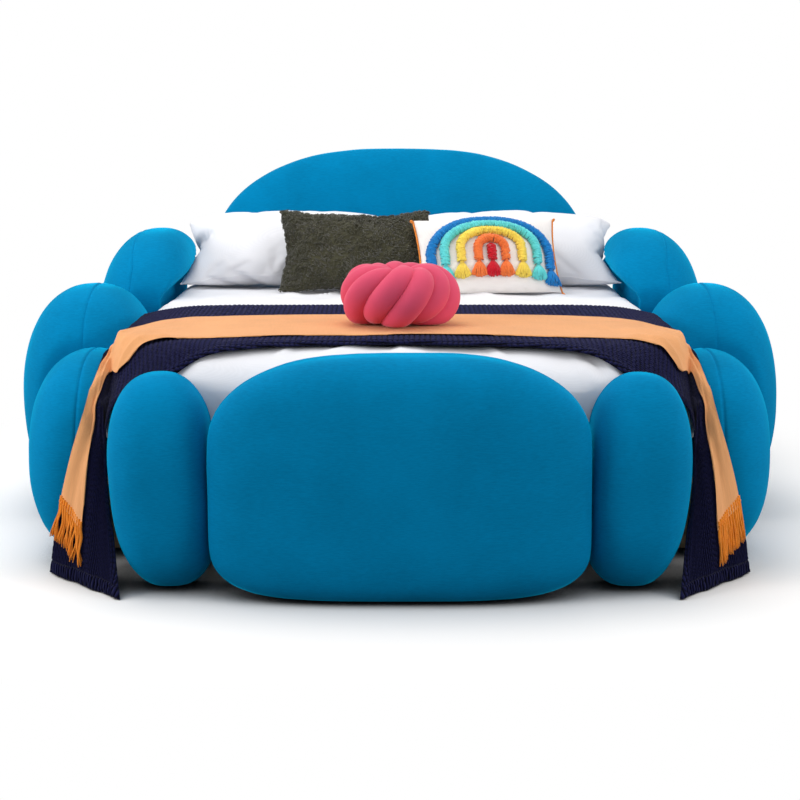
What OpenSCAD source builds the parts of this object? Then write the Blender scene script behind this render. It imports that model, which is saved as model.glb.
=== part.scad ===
// Upholstered bed: a ring of rounded pads round a slatted base, dressed with bedding.
// Millimetres. +Z is up, the foot of the bed faces -Y, and the origin is on the floor
// under the middle of the bed.

/* [Mattress and base] */
// Width of the mattress
mattress_w = 1500; // [1400:10:1560]
// Length of the mattress
mattress_l = 2000; // [1900:10:2100]
// Height of the mattress
mattress_h = 205; // [180:5:225]
// Height of the slats' crown above the floor, where the mattress rests
slat_top = 255; // [248:1:268]
// Room between the mattress and the pads, where the duvet tucks in
tuck_gap = 10; // [10:1:16]
// Thickness of the timber rails
rail_t = 30; // [26:1:36]
// Height of the underside of the rails
rail_z = 83; // [73:1:93]
// Number of slats in each bank
slat_count = 13; // [10:1:14]
// Width of a slat
slat_w = 68; // [50:1:76]
// Thickness of a slat
slat_t = 8; // [7:0.5:9]
// Width of the centre rail
centre_w = 60; // [50:1:70]
// Radius of a centre leg
leg_r = 25; // [18:1:28]

/* [Pads] */
// Depth of the foot pads in front of the mattress
foot_depth = 290; // [280:5:310]
// Depth of the headboard behind the mattress
head_depth = 190; // [180:5:210]
// Width of the middle foot pad
foot_w = 968; // [924:2:984]
// Height of the middle foot pad
foot_h = 598; // [560:1:640]
// Width of a foot corner pad
corner_w = 280; // [260:2:286]
// Height of a foot corner pad
corner_h = 540; // [513:1:573]
// Length of a front side pad
front_l = 590; // [560:5:600]
// Thickness of a front side pad
front_w = 324; // [304:5:334]
// Height of a front side pad
front_h = 541; // [513:1:563]
// Length of a middle side pad
middle_l = 660; // [640:5:690]
// Thickness of a middle side pad
middle_w = 402; // [382:5:422]
// Height of a middle side pad
middle_h = 666; // [633:1:703]
// Length of a rear side pad
rear_l = 850; // [820:5:860]
// Thickness of a rear side pad
rear_w = 420; // [400:5:440]
// Height of a rear side pad
rear_h = 783; // [743:1:823]
// Width of the headboard
head_w = 1390; // [1330:5:1440]
// Height of the headboard
head_h = 1034; // [984:1:1104]
// Thickness of the plywood in the pad cores
ply = 15; // [12:1:18]
// Height of the floor glides
glide_h = 6; // [5:1:10]
// Radius of the floor glides
glide_r = 14; // [11:1:16]

/* [Bedding] */
// Height of the crown of the duvet above the floor
duvet_top = 580; // [568:1:593]
// Height of the lower edge of the duvet's tucked skirt
skirt_z = 353; // [333:5:393]
// Thickness of the knitted blanket
knit_t = 14; // [9:1:16]
// Thickness of the woven throw
throw_t = 5; // [3:1:7]
// Length of the throw's fringe
fringe_l = 112; // [90:2:120]
// Width of a sleeping pillow
pillow_w = 728; // [690:2:730]
// Depth of a sleeping pillow
pillow_d = 420; // [400:2:430]
// Width of the faux fur cushion
fur_w = 508; // [470:2:516]
// Height of the faux fur cushion
fur_d = 310; // [290:2:316]
// Width of the rainbow cushion
rainbow_w = 470; // [440:2:480]
// Height of the rainbow cushion
rainbow_d = 282; // [270:2:290]
// Outer radius of the knot cushion
knot_r = 165; // [155:1:175]
// Height of the knot cushion
knot_h = 165; // [155:1:172]
// Diameter of the knot cushion's stuffed tube
knot_tube = 72; // [64:1:78]

/* [Hidden] */

$fn = 32;
TEAL = [0.0, 0.50, 0.70];
PLY = [0.80, 0.66, 0.46];
PINE = [0.86, 0.73, 0.52];
STEEL = [0.62, 0.64, 0.66];
BLACK = [0.12, 0.12, 0.13];
WHITE = [0.94, 0.94, 0.97];
NAVY = [0.10, 0.11, 0.27];
ORANGE = [0.95, 0.63, 0.35];

// Clearance between soft solids
soft_gap = 1;
// Clearance between a hard part and its seat
seat_gap = 0.3;
// Clearance between a bedding piece and the surface that it lies on
lay_gap = 0.5;

// The inner faces of the pads, which are also the outer faces of the rails
inner_x = mattress_w / 2 + tuck_gap;
bed_l = foot_depth + head_depth + mattress_l + 2 * tuck_gap;
front_y = -bed_l / 2;
foot_y = front_y + foot_depth;
head_y = bed_l / 2 - head_depth;
room_l = head_y - foot_y;
mattress_y = (foot_y + head_y) / 2;
mattress_z = slat_top + seat_gap;
mattress_top = mattress_z + mattress_h;
mattress_edge = 60;
mattress_corner = 100;

// Each pad's curved underside is cut flat at the top of the glides
sole_z = glide_h;
sole_cut = 8;

// Pads: centre x, centre y, half width, half length, height, and roundness in plan,
// above and below the middle. Roundness 2 is an ellipse, and a larger number is squarer.
foot_centre = [0, front_y + 165, foot_w / 2, 165, foot_h, 3.0, 2.75, 5.0];
foot_corner = [inner_x - 174, front_y + 253, corner_w / 2, 170, corner_h, 2.5, 2.4, 2.4];
side_front = [inner_x + front_w / 2 - 90, front_y + 650, front_w / 2, front_l / 2, front_h, 2.4, 2.35, 2.35];
side_middle = [inner_x + middle_w / 2 - 43, front_y + 1200, middle_w / 2, middle_l / 2, middle_h, 2.4, 2.3, 2.3];
side_rear = [inner_x + rear_w / 2 - 172, front_y + 1850, rear_w / 2, rear_l / 2, rear_h, 2.4, 2.3, 2.3];
headboard = [0, head_y + 55, head_w / 2, head_depth - 55, head_h, 3.2, 2.6, 4.0];
// Outward lean of the foot corner pads
corner_lean = 4;
// Where neighbouring pads press against each other
crease_foot = 470;
crease_front = front_y + 915;
crease_rear = front_y + 1485;
// The rear pads and the headboard swell over the mattress above this height
swell_z = duvet_top + 43;
// Behind this line the rear pads stay clear of the pillows
pillow_front = front_y + 1785;

function power(v, e) = sign(v) * pow(abs(v), e);
function mix(a, b, t) = a + (b - a) * t;
function clamp(v, low, high) = min(max(v, low), high);
function smooth(t) = let (c = clamp(t, 0, 1)) c * c * (3 - 2 * c);
function unit(v) = v / norm(v);

// Half height and centre height of a pad
function pad_c(p) = (p[4] - sole_z + sole_cut) / 2;
function pad_z(p) = p[4] - pad_c(p);

// Moves a point straight out from a pad's middle until it is a gap outside the pad
function clear_of(p, q, gap) =
    let (
        c = [p[0], p[1], pad_z(p)],
        e = q[2] < c[2] ? p[7] : p[6],
        plan = pow(abs((q[0] - c[0]) / (p[2] + gap)), p[5]) + pow(abs((q[1] - c[1]) / (p[3] + gap)), p[5]),
        n = pow(pow(plan, e / p[5]) + pow(abs((q[2] - c[2]) / (pad_c(p) + gap)), e), 1 / e)
    )
    n >= 1 ? q : c + (q - c) / n;

// Triangles over a stack of rings between two end points.
// The points are the lower end, the rings from the bottom up, and the upper end.
function stack_faces(rings, n) = concat(
    [for (j = [0:n - 1]) [0, 1 + j, 1 + (j + 1) % n]],
    [for (i = [0:rings - 2], j = [0:n - 1], half = [0, 1])
        let (a = 1 + i * n + j, b = 1 + i * n + (j + 1) % n)
        half == 0 ? [a, b + n, b] : [a, a + n, b + n]],
    [for (j = [0:n - 1])
        let (top = 1 + rings * n, low = 1 + (rings - 1) * n)
        [top, low + (j + 1) % n, low + j]]
);
module stack(low, rings, high) {
    points = concat([low], [for (r = rings, p = r) p], [high]);
    polyhedron(points, stack_faces(len(rings), len(rings[0])));
}

// Rounded stone shape: half sizes, and roundness in plan, above and below the middle
module pebble(half, plan, above, below, columns = 28, levels = 11) {
    rings = [for (i = [1:levels])
        let (f = -90 + 180 * i / (levels + 1), e = f < 0 ? below : above, r = power(cos(f), 2 / e))
        [for (j = [0:columns - 1])
            let (t = 360 * (j + 0.5) / columns)
            [half[0] * r * power(cos(t), 2 / plan),
             half[1] * r * power(sin(t), 2 / plan),
             half[2] * power(sin(f), 2 / e)]]];
    stack([0, 0, -half[2]], rings, [0, 0, half[2]]);
}

// Tube along a path of points, none of whose steps points straight along up
function tube_ring(path, i, r, sides, up) =
    let (
        last = len(path) - 1,
        along = unit(path[min(i + 1, last)] - path[max(i - 1, 0)]),
        side = unit(cross(along, up)),
        rise = cross(side, along)
    )
    [for (j = [0:sides - 1]) path[i] + r * (cos(360 * j / sides) * side + sin(360 * j / sides) * rise)];
module tube(path, r, sides = 6, up = [0, 0, 1]) {
    rings = [for (i = [0:len(path) - 1]) tube_ring(path, i, r, sides, up)];
    stack(path[0], rings, path[len(path) - 1]);
}

// Round rod between two points, exact
module rod(a, b, r) {
    d = b - a;
    translate(a)
        rotate([0, acos(d[2] / norm(d)), atan2(d[1], d[0])])
            cylinder(h = norm(d), r = r, $fn = 16);
}

module at_left() { mirror([1, 0, 0]) children(); }

// Pads and their plywood cores

// Height of the bolts that hold the pads to the rails, and their distance from a panel's ends
bolt_z = 153;
bolt_in = 45;
narrow_bolt_in = 16;
bolt_r = 4;
bolt_bore = 4.5;
bolt_head_r = 8;
bolt_head_h = 5;
tee_r = 5.5;
tee_bore = 5.8;
tee_l = 12;
tee_flange_r = 10;
tee_flange_t = 2;
bolt_past = 10;
stem_r = 4;
stem_bore = 4.3;
stem_up = 10;
// Height of a core's base board, and of the lower outer corner of its ribs
core_z = 45;
rib_z = core_z + 80;
rib_drop = 40;
// Foam left over a core, and between it and the outside of the pad
core_over = 150;
core_out = 105;

// A core stands with its back panel on the plane x = 0 and reaches along +x.
// Values: half length and lower edge of the panel, height, depth, middle of the base board,
// half width and half length of the base board, rib positions, glides, sideways shift
function side_core(p, half, low, over) = [
    half, low, p[4] - over, p[0] + p[2] - core_out - inner_x, p[0] - inner_x,
    38, 85, [-70, 70], [[0, -50], [0, 50]], 0
];
front_core = side_core(side_front, 140, 70, core_over);
middle_core = side_core(side_middle, 140, 140, core_over);
rear_core = side_core(side_rear, 220, 80, core_over + 30);
foot_core = [
    240, 70, foot_h - core_over, 210, foot_y - foot_centre[1],
    60, 240, [-225, -75, 75, 225], [[-35, -200], [35, -200], [-35, 200], [35, 200]], 0
];
corner_core = [
    72, 60, corner_h - core_over, 145, foot_y - foot_corner[1],
    30, 42, [-34, 34], [[0, -21], [0, 21]], -corner_h / 2 * sin(corner_lean)
];
head_core = [
    520, 70, head_h - 2 * core_over, 115, headboard[1] - head_y,
    35, 330, [-300, -100, 100, 300], [[0, -290], [0, -100], [0, 100], [0, 290]], 0
];

function bolt_ys(c) = let (y = c[0] - (c[0] < 100 ? narrow_bolt_in : bolt_in)) [-y, y];
function glide_spots(c) = [for (g = c[8]) [c[4] + g[0], c[9] + g[1]]];
module rib_profile(c) {
    polygon([
        [0, c[1]], [c[4] - c[5], core_z], [c[4] + c[5], core_z],
        [c[3], rib_z], [c[3], c[2] - rib_drop], [0, c[2] - rib_drop]
    ]);
}
module core_panels(c, grow) {
    translate([-grow, -c[0] - grow, c[1] - grow])
        cube([ply + 2 * grow, 2 * (c[0] + grow), c[2] - c[1] + 2 * grow]);
    translate([c[4] - c[5] - grow, c[9] - c[6] - grow, core_z - grow])
        cube([2 * (c[5] + grow), 2 * (c[6] + grow), ply + 2 * grow]);
}
module core_ribs(c, thick) {
    for (y = c[7]) translate([0, y + (abs(y) < c[6] ? 0 : c[9]) + thick / 2, 0])
        rotate([90, 0, 0]) linear_extrude(thick) children();
}
module along_x(from, to, r, fn = 32) {
    translate([from, 0, 0]) rotate([0, 90, 0]) cylinder(h = to - from, r = r, $fn = fn);
}
module core_solid(c) {
    color(PLY) difference() {
        union() {
            core_panels(c, 0);
            core_ribs(c, ply) rib_profile(c);
        }
        for (y = bolt_ys(c)) translate([0, y, bolt_z]) along_x(-1, ply + 1, tee_bore);
        for (s = glide_spots(c)) translate([s[0], s[1], core_z - 1]) cylinder(h = stem_up + 1, r = stem_bore);
    }
}
// What a pad leaves free for its core, the bolts' ends and the glides' stems
module core_room(c) {
    core_panels(c, seat_gap);
    core_ribs(c, ply + 2 * seat_gap) offset(delta = seat_gap) rib_profile(c);
    for (y = bolt_ys(c))
        translate([0, y, bolt_z]) along_x(0, ply + tee_flange_t + bolt_past + 4, tee_flange_r + 2);
    for (s = glide_spots(c)) translate([s[0], s[1], 0]) cylinder(h = core_z, r = stem_bore);
}

// Places a piece, made with its back on x = 0, behind one of the rails
module on_side(p) { translate([inner_x, p[1], 0]) children(); }
module on_foot(x) { translate([x, foot_y, 0]) rotate([0, 0, -90]) children(); }
module on_head() { translate([0, head_y, 0]) rotate([0, 0, 90]) children(); }
SIDES = [[side_front, front_core], [side_middle, middle_core], [side_rear, rear_core]];

// The mattress's room, which the pads leave free up to a height
module inner_room(top) {
    translate([-inner_x, foot_y, -100]) cube([2 * inner_x, room_l, top + 100]);
}
module under_floor() {
    translate([-2000, -2000, -200]) cube([4000, 4000, 200 + sole_z]);
}
module pad_form(p, columns = 28, levels = 11) {
    translate([p[0], p[1], pad_z(p)])
        pebble([p[2], p[3], pad_c(p)], p[5], p[6], p[7], columns, levels);
}
high = 1200;

module foot_centre_solid() {
    color(TEAL) difference() {
        pad_form(foot_centre, 36, 11);
        inner_room(high);
        under_floor();
        for (side = [-1, 1])
            translate([side * (crease_foot - soft_gap / 4 + 100), 0, 0]) cube([200, 4000, 3000], center = true);
        on_foot(0) core_room(foot_core);
    }
}
module foot_corner_solid() {
    color(TEAL) difference() {
        translate([foot_corner[0], foot_corner[1], pad_z(foot_corner)])
            rotate([0, corner_lean, 0])
                pebble([foot_corner[2], foot_corner[3], pad_c(foot_corner)],
                       foot_corner[5], foot_corner[6], foot_corner[7], 24, 11);
        inner_room(high);
        under_floor();
        translate([crease_foot + soft_gap / 4 - 100, 0, 0]) cube([200, 4000, 3000], center = true);
        on_foot(foot_corner[0]) core_room(corner_core);
    }
}
// Keeps the part of the children between two creases
module between(y_from, y_to) {
    intersection() {
        children();
        translate([-2000, y_from, -100]) cube([4000, y_to - y_from, 2000]);
    }
}
module side_front_solid() {
    color(TEAL) difference() {
        between(front_y, crease_front - soft_gap / 4) pad_form(side_front, 24, 11);
        inner_room(high);
        under_floor();
        on_side(side_front) core_room(front_core);
    }
}
module side_middle_solid() {
    color(TEAL) difference() {
        between(crease_front + soft_gap / 4, crease_rear - soft_gap / 4) pad_form(side_middle, 28, 11);
        inner_room(high);
        under_floor();
        on_side(side_middle) core_room(middle_core);
    }
}
module side_rear_solid() {
    color(TEAL) difference() {
        between(crease_rear + soft_gap / 4, head_y + 200) pad_form(side_rear, 28, 11);
        inner_room(swell_z);
        translate([0, pillow_front, 0]) cube([inner_x - 12, 1000, high]);
        under_floor();
        on_side(side_rear) core_room(rear_core);
    }
}
module headboard_solid() {
    color(TEAL) difference() {
        pad_form(headboard, 40, 13);
        inner_room(swell_z);
        under_floor();
        on_head() core_room(head_core);
    }
}

// Base: rails, ledges, slats and their fixings

holder_floor = 4;
holder_over = 3;
slat_crown = 10;
slot_play = 2;
slat_z = slat_top - slat_crown - slat_t;
ledge_top = slat_z - seat_gap - holder_floor;
ledge_w = 32;
ledge_h = 40;
rail_top = ledge_top + 16;
centre_h = 70;
holder_l = ledge_w;
rail_in = inner_x - rail_t;
slat_from = 4;
slat_to = rail_in - 4;
slat_pitch = (room_l - 2 * rail_t - 2 * 40 - slat_w) / (slat_count - 1);
function slat_y(i) = foot_y + rail_t + 40 + slat_w / 2 + i * slat_pitch;

// Bolts that join the corners: on each arm of a bracket, one above the other
bracket_arm = 60;
bracket_t = 4;
bracket_z = rail_z + 12;
bracket_h = 90;
corner_bolt_in = 38;
corner_bolt_zs = [bracket_z + 22, bracket_z + 68];
sink_r = 9;
sink_d = 6;
nut_r = 7;
nut_h = 6;

module pad_bolt_bores() {
    for (s = SIDES, y = bolt_ys(s[1]))
        translate([rail_in, s[0][1] + y, bolt_z]) along_x(-1, rail_t + 1, bolt_bore);
}
module corner_bores_x() {
    for (y = [foot_y + rail_t + corner_bolt_in, head_y - rail_t - corner_bolt_in], z = corner_bolt_zs)
        translate([inner_x, y, z]) {
            along_x(-rail_t - 1, 1, bolt_bore);
            along_x(-sink_d, 1, sink_r);
        }
}
module side_rail_solid() {
    color(PINE) difference() {
        translate([rail_in, foot_y, rail_z]) cube([rail_t, room_l, rail_top - rail_z]);
        pad_bolt_bores();
        corner_bores_x();
    }
}
module end_rail(bolt_xs) {
    color(PINE) difference() {
        translate([-rail_t, -rail_in, rail_z]) cube([rail_t, 2 * rail_in, rail_top - rail_z]);
        for (x = bolt_xs) translate([0, x, bolt_z]) along_x(-rail_t - 1, 1, bolt_bore);
        for (x = [-1, 1], z = corner_bolt_zs)
            translate([0, x * (rail_in - corner_bolt_in), z]) {
                along_x(-rail_t - 1, 1, bolt_bore);
                along_x(-sink_d, 1, sink_r);
            }
    }
}
foot_bolt_xs = concat(
    bolt_ys(foot_core),
    [for (side = [-1, 1], y = bolt_ys(corner_core)) side * foot_corner[0] + y]
);
module ledge_solid() {
    color(PINE) translate([rail_in - ledge_w, foot_y + rail_t, ledge_top - ledge_h])
        cube([ledge_w, room_l - 2 * rail_t, ledge_h]);
}
module centre_rail_solid() {
    color(PINE) translate([-centre_w / 2, foot_y + rail_t + seat_gap, ledge_top - centre_h])
        cube([centre_w, room_l - 2 * rail_t - 2 * seat_gap, centre_h]);
}
module slat_profile() {
    steps = 10;
    function bow(t) = slat_crown * (1 - pow(2 * t - 1, 2));
    function px(t) = mix(slat_from + seat_gap, slat_to - seat_gap, t);
    polygon(concat(
        [for (i = [0:steps]) let (t = i / steps) [px(t), slat_z + bow(t)]],
        [for (i = [steps:-1:0]) let (t = i / steps) [px(t), slat_z + slat_t + bow(t)]]
    ));
}
module slats_solid() {
    color([0.90, 0.80, 0.62]) for (i = [0:slat_count - 1])
        translate([0, slat_y(i) + slat_w / 2, 0]) rotate([90, 0, 0]) linear_extrude(slat_w) slat_profile();
}
module holder_slot(from, to) {
    translate([from, -slat_w / 2 - seat_gap, slat_z - seat_gap])
        cube([to - from, slat_w + 2 * seat_gap, slat_t + slot_play + seat_gap]);
}
holder_wall = 4;
holder_h = holder_floor + slat_t + slot_play + holder_over + seat_gap;
module side_holders_solid() {
    color(BLACK) for (i = [0:slat_count - 1]) translate([0, slat_y(i), 0]) difference() {
        translate([rail_in - holder_l, -slat_w / 2 - holder_wall, ledge_top])
            cube([holder_l, slat_w + 2 * holder_wall, holder_h]);
        holder_slot(rail_in - holder_l - 1, slat_to);
    }
}
module centre_holders_solid() {
    color(BLACK) for (i = [0:slat_count - 1]) translate([0, slat_y(i), 0]) difference() {
        translate([-centre_w / 2, -slat_w / 2 - holder_wall, ledge_top])
            cube([centre_w, slat_w + 2 * holder_wall, holder_h]);
        holder_slot(slat_from, centre_w);
        holder_slot(-centre_w, -slat_from);
    }
}
leg_ys = [foot_y + room_l / 4, foot_y + room_l / 2, foot_y + 3 * room_l / 4];
leg_foot_h = glide_h;
module centre_legs_solid() {
    color(PINE) for (y = leg_ys) translate([0, y, leg_foot_h])
        cylinder(h = ledge_top - centre_h - leg_foot_h, r = leg_r);
}
module centre_leg_feet_solid() {
    color(BLACK) for (y = leg_ys) translate([0, y, 0]) cylinder(h = leg_foot_h, r = leg_r + 3);
}
// Copies the children, made for the corner at +x and the foot, to all four corners
module at_corners() {
    for (side = [0, 1], end = [0, 1])
        translate([0, mattress_y, 0]) mirror([side, 0, 0]) mirror([0, end, 0]) translate([0, -mattress_y, 0])
            children();
}
module corner_brackets_solid() {
    color(STEEL) at_corners() difference() {
        union() {
            translate([rail_in - bracket_t, foot_y + rail_t, bracket_z]) cube([bracket_t, bracket_arm, bracket_h]);
            translate([rail_in - bracket_arm, foot_y + rail_t, bracket_z]) cube([bracket_arm, bracket_t, bracket_h]);
        }
        for (z = corner_bolt_zs) {
            translate([rail_in, foot_y + rail_t + corner_bolt_in, z]) along_x(-bracket_t - 1, 1, bolt_bore);
            translate([rail_in - corner_bolt_in, foot_y + rail_t, z])
                rotate([0, 0, 90]) along_x(-1, bracket_t + 1, bolt_bore);
        }
    }
}
// A bolt along x: its head is sunk in the rail's outer face at x = 0, its nut is on the bracket
module corner_bolt() {
    along_x(-sink_d, -sink_d + bolt_head_h, bolt_head_r, 16);
    along_x(-rail_t - bracket_t - nut_h - 3, -sink_d, bolt_r, 16);
    along_x(-rail_t - bracket_t - nut_h, -rail_t - bracket_t, nut_r, 16);
}
module corner_bolts_solid() {
    color(STEEL) at_corners() for (z = corner_bolt_zs) {
        translate([inner_x, foot_y + rail_t + corner_bolt_in, z]) corner_bolt();
        translate([rail_in - corner_bolt_in, foot_y, z]) rotate([0, 0, -90]) corner_bolt();
    }
}
hanger_t = 3;
hanger_l = 50;
module hangers_solid() {
    out = centre_w / 2 + seat_gap;
    low = ledge_top - centre_h - seat_gap;
    color(STEEL) for (end = [0, 1])
        translate([0, mattress_y, 0]) mirror([0, end, 0]) translate([0, -mattress_y, 0])
            translate([0, foot_y + rail_t, 0]) {
                for (side = [0, 1]) mirror([side, 0, 0])
                    translate([out, 0, low - hanger_t]) cube([hanger_t, hanger_l, centre_h - 10]);
                translate([-out, 0, low - hanger_t]) cube([2 * out, hanger_l, hanger_t]);
            }
}
// A bolt along x through the rail into the core, with its head on the rail's inner face
module pad_bolt() {
    along_x(-rail_t - bolt_head_h, -rail_t, bolt_head_r, 16);
    along_x(-rail_t, ply + bolt_past, bolt_r, 16);
}
module tee_nut() {
    difference() {
        union() {
            along_x(ply - tee_l, ply + tee_flange_t, tee_r);
            along_x(ply, ply + tee_flange_t, tee_flange_r);
        }
        along_x(ply - tee_l - 1, ply + tee_flange_t + 1, bolt_r + 0.15);
    }
}
// Puts the children at every bolt that holds a pad
module at_pad_bolts() {
    for (side = [0, 1]) mirror([side, 0, 0])
        for (s = SIDES, y = bolt_ys(s[1])) on_side(s[0]) translate([0, y, bolt_z]) children();
    for (y = bolt_ys(foot_core)) on_foot(0) translate([0, y, bolt_z]) children();
    for (side = [-1, 1], y = bolt_ys(corner_core))
        on_foot(side * foot_corner[0]) translate([0, y, bolt_z]) children();
    for (y = bolt_ys(head_core)) on_head() translate([0, y, bolt_z]) children();
}
module glides_of(c) {
    for (s = glide_spots(c)) translate([s[0], s[1], 0]) {
        cylinder(h = glide_h, r = glide_r);
        cylinder(h = core_z + stem_up - seat_gap, r = stem_r, $fn = 16);
    }
}
module floor_glides_solid() {
    color(BLACK) {
        for (side = [0, 1]) mirror([side, 0, 0]) {
            for (s = SIDES) on_side(s[0]) glides_of(s[1]);
            on_foot(foot_corner[0]) glides_of(corner_core);
        }
        on_foot(0) glides_of(foot_core);
        on_head() glides_of(head_core);
    }
}

// Mattress and duvet

// Point along the edge of a square from -1 to 1, closer together near its corners
function square_point(j, n) =
    let (k = 4 * j / n, side = floor(k), f = sin(90 * (2 * (k - side) - 1)))
    side == 0 ? [1, f] : side == 1 ? [-f, 1] : side == 2 ? [-1, -f] : [f, -1];
// Ring on a rectangle with rounded corners: half sizes and corner radius
function rect_ring(hx, hy, r, n) = [for (j = [0:n - 1])
    let (
        q = square_point(j, n),
        p = [q[0] * hx, q[1] * hy],
        c = [clamp(p[0], r - hx, hx - r), clamp(p[1], r - hy, hy - r)],
        d = p - c
    )
    norm(d) > r ? c + d * (r / norm(d)) : p];
// How far a point lies inside such a rectangle
function inside(x, y, hx, hy, r) =
    let (dx = abs(x) - (hx - r), dy = abs(y) - (hy - r))
    dx > 0 && dy > 0 ? r - norm([dx, dy]) : r - max(dx, dy);

bed_cols = 40;
edge_angles = [0, 22.5, 45, 67.5, 90];
// Rings over the mattress's rounded upper edge, grown by a gap
function edge_rings(gap, lift) = [for (a = edge_angles)
    let (inset = mattress_edge * (1 - cos(a)), z = mattress_top - mattress_edge * (1 - sin(a)) + lift * sin(a))
    [for (p = rect_ring(mattress_w / 2 + gap * cos(a) - inset, mattress_l / 2 + gap * cos(a) - inset,
                        mattress_corner + gap - inset, bed_cols))
        [p[0], mattress_y + p[1], z]]];
module mattress_solid() {
    base_inset = 12;
    bottom = [for (inset = [base_inset, 0])
        [for (p = rect_ring(mattress_w / 2 - inset, mattress_l / 2 - inset, mattress_corner - inset, bed_cols))
            [p[0], mattress_y + p[1], mattress_z + (inset > 0 ? 0 : base_inset)]]];
    color([0.90, 0.89, 0.86])
        stack([0, mattress_y, mattress_z], concat(bottom, edge_rings(0, 0)), [0, mattress_y, mattress_top]);
}

// Height of the mattress and of the duvet over a point of the bed
function mattress_height(x, y) =
    let (
        d = inside(x, y - mattress_y, mattress_w / 2, mattress_l / 2, mattress_corner),
        e = mattress_edge - clamp(d, 0, mattress_edge)
    )
    mattress_top - mattress_edge + sqrt(mattress_edge * mattress_edge - e * e);
// The duvet's edge falls softly at the foot, and is full beside the side pads
function duvet_fall(y) = mix(50, 16, smooth((y - foot_y - 60) / 250));
duvet_corner = 260;
duvet_min = 12;
function duvet_height(x, y) =
    let (
        d = max(inside(x, y - mattress_y, inner_x, room_l / 2, duvet_corner), -40),
        soft = mattress_top + duvet_min + (duvet_top - mattress_top - duvet_min) * (1 - exp(-d / duvet_fall(y)))
    )
    max(soft, mattress_height(x, y) + duvet_min);
duvet_out = tuck_gap - soft_gap;
module duvet_solid() {
    function grown(inset, z) = [for (p = rect_ring(mattress_w / 2 + duvet_out - inset,
            mattress_l / 2 + duvet_out - inset, mattress_corner + duvet_out - inset * 0.35, bed_cols))
        [p[0], mattress_y + p[1], z < 0 ? duvet_height(p[0], mattress_y + p[1]) : z]];
    edge = edge_rings(3.8 * soft_gap, 0.9 * soft_gap);
    under = [for (i = [len(edge) - 1:-1:0]) edge[i]];
    inner_low = [for (p = edge[0]) [p[0], p[1], skirt_z]];
    over = [for (k = [0.88, 0.72, 0.5, 0.25])
        [for (p = rect_ring(inner_x * k, room_l / 2 - inner_x * (1 - k), duvet_corner * k, bed_cols))
            [p[0], mattress_y + p[1], duvet_height(p[0], mattress_y + p[1])]]];
    rings = concat(under, [inner_low],
        [grown(0, skirt_z), grown(0, mattress_top - mattress_edge - 6), grown(5, -1), grown(22, -1), grown(50, -1)],
        over);
    color(WHITE) stack([0, mattress_y, mattress_top + 0.9 * soft_gap], rings, [0, mattress_y, duvet_top]);
}

// Cushions

// Height of a cushion's crown over a point of its square, from -1 to 1 each way
function crown(u, v, t, skew) =
    t * (1 + skew * v) * pow(max(0, (1 - u * u) * (1 - v * v)), 0.45);
// Place of that point: the sides are drawn in between the corners
function drawn(u, v, w, d, draw) = [
    w / 2 * u * (1 - draw * (1 - v * v)),
    d / 2 * v * (1 - draw * (1 - u * u))
];
function cushion_ring(k, w, d, draw, t, skew, n) = [for (j = [0:n - 1])
    let (s = square_point(j, n) * k, p = drawn(s[0], s[1], w, d, draw))
    [p[0], p[1], crown(s[0], s[1], t, skew)]];
module cushion_form(w, d, draw, front, back, skew = 0, n = 28) {
    ks = [0.35, 0.62, 0.82, 0.94];
    rings = concat(
        [for (k = ks) cushion_ring(k, w, d, draw, -back, 0, n)],
        [cushion_ring(1, w, d, draw, 0, 0, n)],
        [for (i = [len(ks) - 1:-1:0]) cushion_ring(ks[i], w, d, draw, front, skew, n)]
    );
    stack([0, 0, -back], rings, [0, 0, front]);
}
// What lies below a height is cut away, so that a cushion rests flat
module rest_on(z) {
    difference() {
        children();
        translate([-1500, -1500, z - 1000]) cube([3000, 3000, 1000]);
    }
}
bed_z = duvet_top + lay_gap;
pillow_tilt = 23.6;
pillow_rise = pillow_d / 2 * sin(pillow_tilt);
module pillow_solid() {
    color(WHITE) rest_on(bed_z)
        translate([inner_x - 18 - pillow_w / 2, front_y + 2002, duvet_top + 8 + pillow_rise])
            rotate([pillow_tilt, 0, 0])
                cushion_form(pillow_w, pillow_d, 0.09, 95, 80, 0.35);
}
fur_tilt = 62;
fur_draw = 0.06;
module fur_cushion_solid() {
    color([0.29, 0.30, 0.22]) rest_on(bed_z)
        translate([-150, front_y + 1805, duvet_top + fur_d / 2 * (1 - fur_draw) * sin(fur_tilt) - 1])
            rotate([fur_tilt, 0, 0])
                cushion_form(fur_w, fur_d, fur_draw, 65, 55);
}
rainbow_tilt = 58;
rainbow_yaw = 10;
rainbow_draw = 0.05;
rainbow_front = 62;
module rainbow_place() {
    translate([289, front_y + 1765, duvet_top + rainbow_d / 2 * (1 - rainbow_draw) * sin(rainbow_tilt) - 1])
        rotate([0, 0, rainbow_yaw]) rotate([rainbow_tilt, 0, 0]) children();
}
module rainbow_cushion_solid() {
    color([0.93, 0.91, 0.86]) rest_on(bed_z) rainbow_place()
        cushion_form(rainbow_w, rainbow_d, rainbow_draw, rainbow_front, 55);
}
// Height of the rainbow cushion's front over a point of it
function rainbow_height(x, y) =
    let (
        v0 = y / (rainbow_d / 2),
        u = clamp(x / (rainbow_w / 2 * (1 - rainbow_draw * (1 - v0 * v0))), -1, 1),
        v = clamp(y / (rainbow_d / 2 * (1 - rainbow_draw * (1 - u * u))), -1, 1)
    )
    crown(u, v, rainbow_front, 0);
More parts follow.
